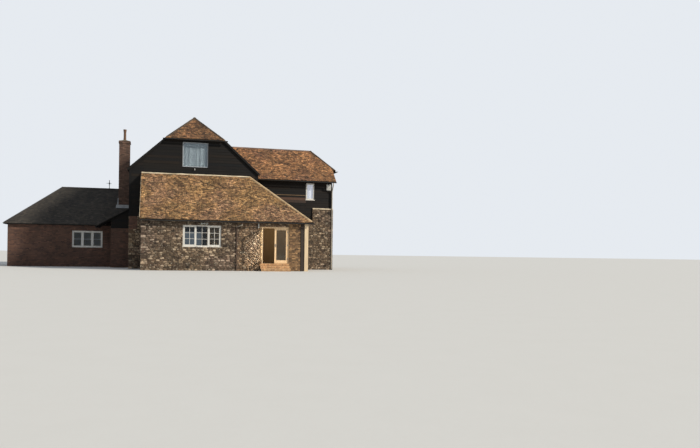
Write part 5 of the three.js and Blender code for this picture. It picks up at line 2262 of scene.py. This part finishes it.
class House:
    """The whole house, sub-assembly by sub-assembly."""

    def roofs(self) -> None:
        """Builds every slope, ridge and hip."""
        over_main, over_wing = (-0.02, 7.42, -0.02, 10.52), (7.38, 12.3, 0.88, 5.7)
        over_lean_to, over_range = (0.72, 9.99, -3.02, 0.84), (-7.25, 0.02, 4.23, 9.77)
        over_porch = (-1.17, 0.0, 2.58, 4.27)
        seed = 50
        for finish, walls, slopes in (
            (RUSSET_TILE, over_main, "main_roof_left main_roof_right"),
            (HIP_TILE, over_main, "main_front_half_hip main_back_half_hip"),
            (RUSSET_TILE, over_wing, "wing_roof_front wing_roof_back wing_half_hip"),
            (GOLDEN_TILE, over_lean_to, "lean_to_roof_front lean_to_roof_hip"),
            (SHADED_PLUM_TILE, over_range, "range_roof_front range_roof_back range_roof_end"),
            (SHADED_PLUM_TILE, over_porch, "porch_roof"),
        ):
            for node in slopes.split():
                TiledSlope(node, finish, seed, walls).build()
                seed += 1
        for finish, *runs in (
            (RIDGE_TILE, "main_ridge main_roof_left main_roof_right",
             "main_front_left_hip main_front_half_hip main_roof_left",
             "main_front_right_hip main_front_half_hip main_roof_right",
             "main_back_left_hip main_back_half_hip main_roof_left",
             "main_back_right_hip main_back_half_hip main_roof_right"),
            (RUSSET_RIDGE_TILE, "wing_ridge wing_roof_front wing_roof_back"),
            (RIDGE_TILE, "wing_front_hip wing_half_hip wing_roof_front", "wing_back_hip wing_half_hip wing_roof_back"),
            (PALE_RIDGE_TILE, "lean_to_hip lean_to_roof_front lean_to_roof_hip"),
            (PLUM_RIDGE_TILE, "range_ridge range_roof_front range_roof_back",
             "range_front_hip range_roof_end range_roof_front", "range_back_hip range_roof_end range_roof_back"),
        ):
            for run in runs:
                name, one, other = run.split()
                RidgeRun(name, (one, other), finish).build()

    def stone_walls(self) -> None:
        """Builds the rubble stones of every face that shows."""
        behind_range = ((-1.0, 4.2, 0.0), (1.0, 9.8, 4.0))
        behind_lean_to = ((0.74, -1.0, 0.0), (7.4, 1.0, 4.0))
        in_lean_to = ((6.0, -1.0, 0.0), (9.97, 2.0, 4.0))
        corner_bricks = ((-1.0, -1.0, 2.3), (0.45, 1.0, 4.0))
        warm_from = 5.93
        sides, wing = "side_and_back_walls", "wing_end_and_back_walls"
        for name, node, side, skip, quoins in (
            ("front_stones", "front_wall", Side.FRONT, [behind_lean_to, corner_bricks], (True, False)),
            ("left_stones", (sides, "front_wall"), Side.LEFT, [behind_range], (True, True)),
            ("back_stones", sides, Side.BACK, [], (True, True)),
            ("right_stones", sides, Side.RIGHT, [], (False, True)),
            ("wing_front_stones", "wing_front_wall", Side.FRONT, [in_lean_to], (False, True)),
            ("wing_end_stones", (wing, "wing_front_wall"), Side.RIGHT, [], (True, True)),
            ("wing_back_stones", wing, Side.BACK, [], (True, False)),
            ("lean_to_front_left_stones", "lean_to_wall_left", Side.FRONT, [], (True, False)),
            ("lean_to_left_stones", "lean_to_wall_left", Side.LEFT, [], (False, True)),
            ("lean_to_over_door_stones", "lean_to_wall_over_door", Side.FRONT, [], (False, False)),
            ("lean_to_right_stones", "lean_to_wall_right", Side.RIGHT, [], (True, False)),
        ):
            warm = name.startswith("lean_to") and side is Side.FRONT
            RubbleWall(name, node, side, skip, quoins, warm_from=warm_from if warm else math.inf).build()

    def boarded_walls(self) -> None:
        """Builds the weatherboards of every face that shows."""
        behind_lean_to = ((0.76, -1.0, 3.0), (7.38, 1.0, 5.3))
        behind_wing = ((7.0, 0.95, 3.0), (8.0, 5.62, 6.2))
        faded = (7.4, 10.6, 4.3, 4.62)
        front, wing, gables = "wing_front_boarding", "wing_end_and_back_boarding", ("front_gable", "back_gable")
        for name, node, side, skip, trims in (
            ("front_gable_boards", "front_gable", Side.FRONT, [behind_lean_to], (True, True)),
            ("back_gable_boards", "back_gable", Side.BACK, [], (True, True)),
            ("left_boards", ("left_boarded_wall", *gables), Side.LEFT, [], (True, True)),
            ("right_boards", ("right_boarded_wall", *gables), Side.RIGHT, [behind_wing], (True, True)),
            ("wing_front_boards", front, Side.FRONT, [], (False, True)),
            ("wing_end_boards", (wing, front), Side.RIGHT, [], (True, True)),
            ("wing_back_boards", wing, Side.BACK, [], (True, False)),
            ("porch_boards", "porch_wall", Side.FRONT, [((-2, 2, 0), (0, 3, 2.41))], (False, False)),
        ):
            bare = faded if name == "wing_front_boards" else BoardedWall.faded
            BoardedWall(name, node, side, skip, trims, bare).build()

    def brick_walls(self) -> None:
        """Builds the bricks of the low range, the porch and the patches in the stone."""
        ends, front = "range_end_and_back_walls", "range_front_wall"
        over_porch = ((-1.2, 2.0, 2.41), (0.0, 3.0, 4.0))
        corner = ((0.0, -1.0, 2.3), (0.45, 1.0, 3.06))
        beside_doors = ((8.8, -4.0, 0.0), (9.54, 0.0, 4.0))
        for wall in (
            BrickWall("range_front_bricks", front, Side.FRONT),
            BrickWall("range_end_bricks", (ends, front), Side.LEFT),
            BrickWall("range_back_bricks", ends, Side.BACK),
            BrickWall("porch_front_bricks", "porch_wall", Side.FRONT, [over_porch]),
            BrickWall("porch_end_bricks", "porch_wall", Side.LEFT),
            BrickWall("porch_back_bricks", "porch_wall", Side.BACK),
            BrickWall("front_corner_bricks", "front_wall", Side.FRONT, within=corner, seed=5),
            BrickWall("lean_to_front_bricks", "lean_to_wall_right", Side.FRONT, (), WARM_BRICK, beside_doors, seed=6),
        ):
            wall.build()

    def windows(self) -> None:
        """Builds every window, the curtains and the blinds."""
        for piece in (
            Window("lean_to_window", Side.FRONT, 3, (2, 3), fixed=(1,)),
            Window("gable_window", Side.FRONT, finish=GREY_PAINT, member=0.045, sash=0.0, sill=0.03),
            Window("wing_window", Side.FRONT, member=0.05, sash=0.03),
            Window("range_window", Side.FRONT, 3, (1, 2), glazed=True),
            Window("back_window", Side.BACK, 3, (2, 3), glazed=True),
            Window("back_gable_window", Side.BACK, member=0.05, sash=0.0, glazed=True),
            Window("wing_back_window", Side.BACK, member=0.05, sash=0.03, glazed=True),
            HungCloth("gable_curtain_folds", "gable_window", CURTAIN_CLOTH, 0.095, 5, 0.012, ("gable_curtain",)),
            HungCloth("wing_window_blind", "wing_window", BLIND_CLOTH, 0.06, held="hung"),
            HungCloth("back_window_curtain", "back_window", CURTAIN_CLOTH, -0.06, 14, 0.03),
            HungCloth("wing_back_window_blind", "wing_back_window", BLIND_CLOTH, -0.02, held="hung"),
        ):
            piece.build()

    def doors(self) -> None:
        """Builds the double doors, their frame and the steps."""
        DoorLeaf("left_door", "left_leaf", "left_leaf_hinge", 1, -95.0).build()
        DoorLeaf("right_door", "right_leaf", "right_leaf_hinge", -1, 0.0).build()
        DoorSurround().build()
        BrickSteps().build()

    def trims(self) -> None:
        """Builds the mortar fillets, the ledge and the verge boards."""
        top = ((0.0, 0.012), (0.0, -0.05), (0.055, -0.07), (0.066, -0.058), (0.028, 0.004))
        verge = ((0.0, -0.012), (0.0, -0.075), (0.012, -0.07), (0.012, -0.014))
        ledge = ((0.0, 0.07), (0.0, -0.02), (0.11, -0.02), (0.11, 0.0))
        board = ((0.0, -0.004), (0.0, -0.16), (0.022, -0.16), (0.022, -0.004))
        for name, start, end, section, side, seed in (
            ("lean_to_top_fillet", (0.66, 0.0, 5.64), (6.97, 0.0, 5.64), top, Side.FRONT, 3),
            ("lean_to_verge_fillet", (0.652, -3.34, 2.93), (0.652, -0.03, 5.6), verge, Side.LEFT, 6),
            ("wing_stone_ledge", (11.06, 0.9, 3.85), (12.38, 0.9, 3.85), ledge, Side.FRONT, 4),
        ):
            Fillet(name, start, end, section, side, seed).build()
        pitch, eaves = 0.91, 5.82
        for side, y in ((Side.FRONT, -0.1), (Side.BACK, 10.6)):
            for end, foot, head in (("left", -0.14, 2.06), ("right", 7.54, 5.34)):
                low, high = (foot, y, eaves), (head, y, eaves + pitch * abs(head - foot))
                name = f"{side.name.lower()}_{end}_verge_board"
                Fillet(name, low, high, board, side, len(name), BLACK_BOARD, "boards", 0.001).build()

    def carried_over(self) -> None:
        """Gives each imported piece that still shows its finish."""
        for finish, nodes in (
            (LIME_MORTAR, "front_wall side_and_back_walls wing_front_wall wing_end_and_back_walls door_steps"),
            (LIME_MORTAR, "lean_to_wall_left lean_to_wall_right lean_to_wall_over_door"),
            (LIME_MORTAR, "range_front_wall range_end_and_back_walls porch_wall"),
            (BLACK_TRIM, "front_gable back_gable left_boarded_wall right_boarded_wall"),
            (BLACK_TRIM, "wing_front_boarding wing_end_and_back_boarding"),
            (CREAM_PAINT, "corner_post"),
            (FLAGSTONE, "ground_floor"),
            (FLOOR_OAK, "first_floor attic_floor"),
            (CLEAR_GLASS, "lean_to_window_glass gable_window_glass wing_window_glass left_door_glass right_door_glass"),
            (BROWN_PIPE, "lean_to_downpipe"),
            (BLACK_METAL, "lean_to_gutter front_hip_gutter wing_gutter wing_hip_gutter"),
            (PALE_PIPE, "wing_downpipe"),
        ):
            for node in nodes.split():
                mesh = frame["nodes"][node].data
                for i in range(len(mesh.materials)):
                    mesh.materials[i] = finish.material()
                LOG.info("%s keeps its shape and takes %s", node, finish.name)

    def build(self) -> None:
        """Builds the house."""
        self.roofs()
        self.stone_walls()
        self.boarded_walls()
        self.brick_walls()
        self.windows()
        self.doors()
        Chimney().build()
        self.trims()
        Lining().build()
        Fittings().build()
        self.carried_over()


@dataclass
class Studio:
    """The floor, the lights and the camera."""

    eye: tuple[float, float, float] = (1.586, -42.556, 1.113)  # the camera's place from the tall block's corner
    yaw: float = 0.269  # how far it looks to the right, in radians
    roll: float = 0.014  # how far it leans, in radians
    horizon: float = 28.6 / 700  # shift that puts the horizon where the photograph has it
    turn: float = 57.0  # how far the sun stands to the right of the garden front's middle, in degrees
    rise: float = 26.0  # how high it stands, in degrees
    bulb: tuple[float, float, float] = (8.9, -1.3, 2.7)  # the place of the light inside
    reach: float = 260.0  # half the width of the floor

    def _put(self, name: str, data: bpy.types.ID) -> Piece:
        """Adds a light or a camera to the scene.

        Args:
            name: The object's name.
            data: Its light or camera.

        Returns:
            The object.
        """
        made = bpy.data.objects.new(name, data)
        bpy.context.scene.collection.objects.link(made)
        return made

    def camera(self) -> None:
        """Sets the camera up."""
        data = bpy.data.cameras.new("camera")
        data.sensor_width, data.lens, data.shift_y, data.clip_end = 36.0, 36.0, self.horizon, 500.0
        camera = self._put("camera", data)
        level = Matrix.Rotation(-self.yaw, 4, "Z") @ Matrix.Rotation(math.pi / 2, 4, "X")
        camera.matrix_world = Matrix.Translation(at(*self.eye)) @ level @ Matrix.Rotation(self.roll, 4, "Z")
        bpy.context.scene.camera = camera

    def floor(self) -> None:
        """Lays a plain pale floor."""
        square = rectangle(-self.reach, self.reach, -self.reach, self.reach)
        stock = Stock()
        stock.loft([np.array([(x, y, z) for x, y in square]) for z in (-0.1, -0.002)])
        stock.build("studio_floor", [STUDIO_FLOOR])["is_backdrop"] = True

    def lights(self) -> None:
        """Hangs a broad soft light to the right and a bulb in the lean-to."""
        sun = bpy.data.lights.new("key", "SUN")
        sun.energy, sun.angle, sun.color = 3.9, math.radians(5), (1.0, 0.92, 0.8)
        turn, rise = math.radians(self.turn), math.radians(self.rise)
        to_sun = Vector((math.cos(rise) * math.sin(turn), -math.cos(rise) * math.cos(turn), math.sin(rise)))
        self._put("key", sun).rotation_euler = to_sun.to_track_quat("Z", "Y").to_euler()
        inside = bpy.data.lights.new("inside", "POINT")
        inside.energy, inside.shadow_soft_size, inside.color = 30.0, 0.25, (1.0, 0.8, 0.58)
        bulb = self._put("inside", inside)
        bulb.location = at(*self.bulb)
        bulb.visible_camera = bulb.visible_glossy = bulb.visible_transmission = False

    def surroundings(self) -> None:
        """Lights the studio evenly, with a paler backdrop for the camera."""
        world = bpy.data.worlds.new("room")
        world.use_nodes = True
        world.node_tree.nodes.clear()
        tree = Tree(world.node_tree)
        seen = tree.add("LightPath").outputs["Is Camera Ray"]
        fill = tree.add("Background", {0: (0.86, 0.92, 1.0, 1.0), 1: 0.45}).outputs[0]
        backdrop = tree.add("Background", {0: (0.86, 0.9, 0.95, 1.0), 1: 0.92}).outputs[0]
        tree.add("OutputWorld", {"Surface": tree.add("MixShader", {0: seen, 1: fill, 2: backdrop}).outputs[0]})
        bpy.context.scene.world = world

    def build(self) -> None:
        """Sets the whole studio up."""
        self.camera()
        self.floor()
        self.lights()
        self.surroundings()
        bpy.context.scene.view_settings.view_transform = "Standard"


def write_sizes() -> None:
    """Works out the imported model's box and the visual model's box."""
    boxes = {"cad": CAD_BOX, "visual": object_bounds()}
    {name: [list(low), list(high)] for name, (low, high) in boxes.items()}


def main() -> None:
    """Builds the studio and the house."""
    logging.basicConfig(level=logging.INFO, format="%(name)s: %(message)s")
    Studio().build()
    House().build()
    write_sizes()


if __name__ == "__main__":
    main()
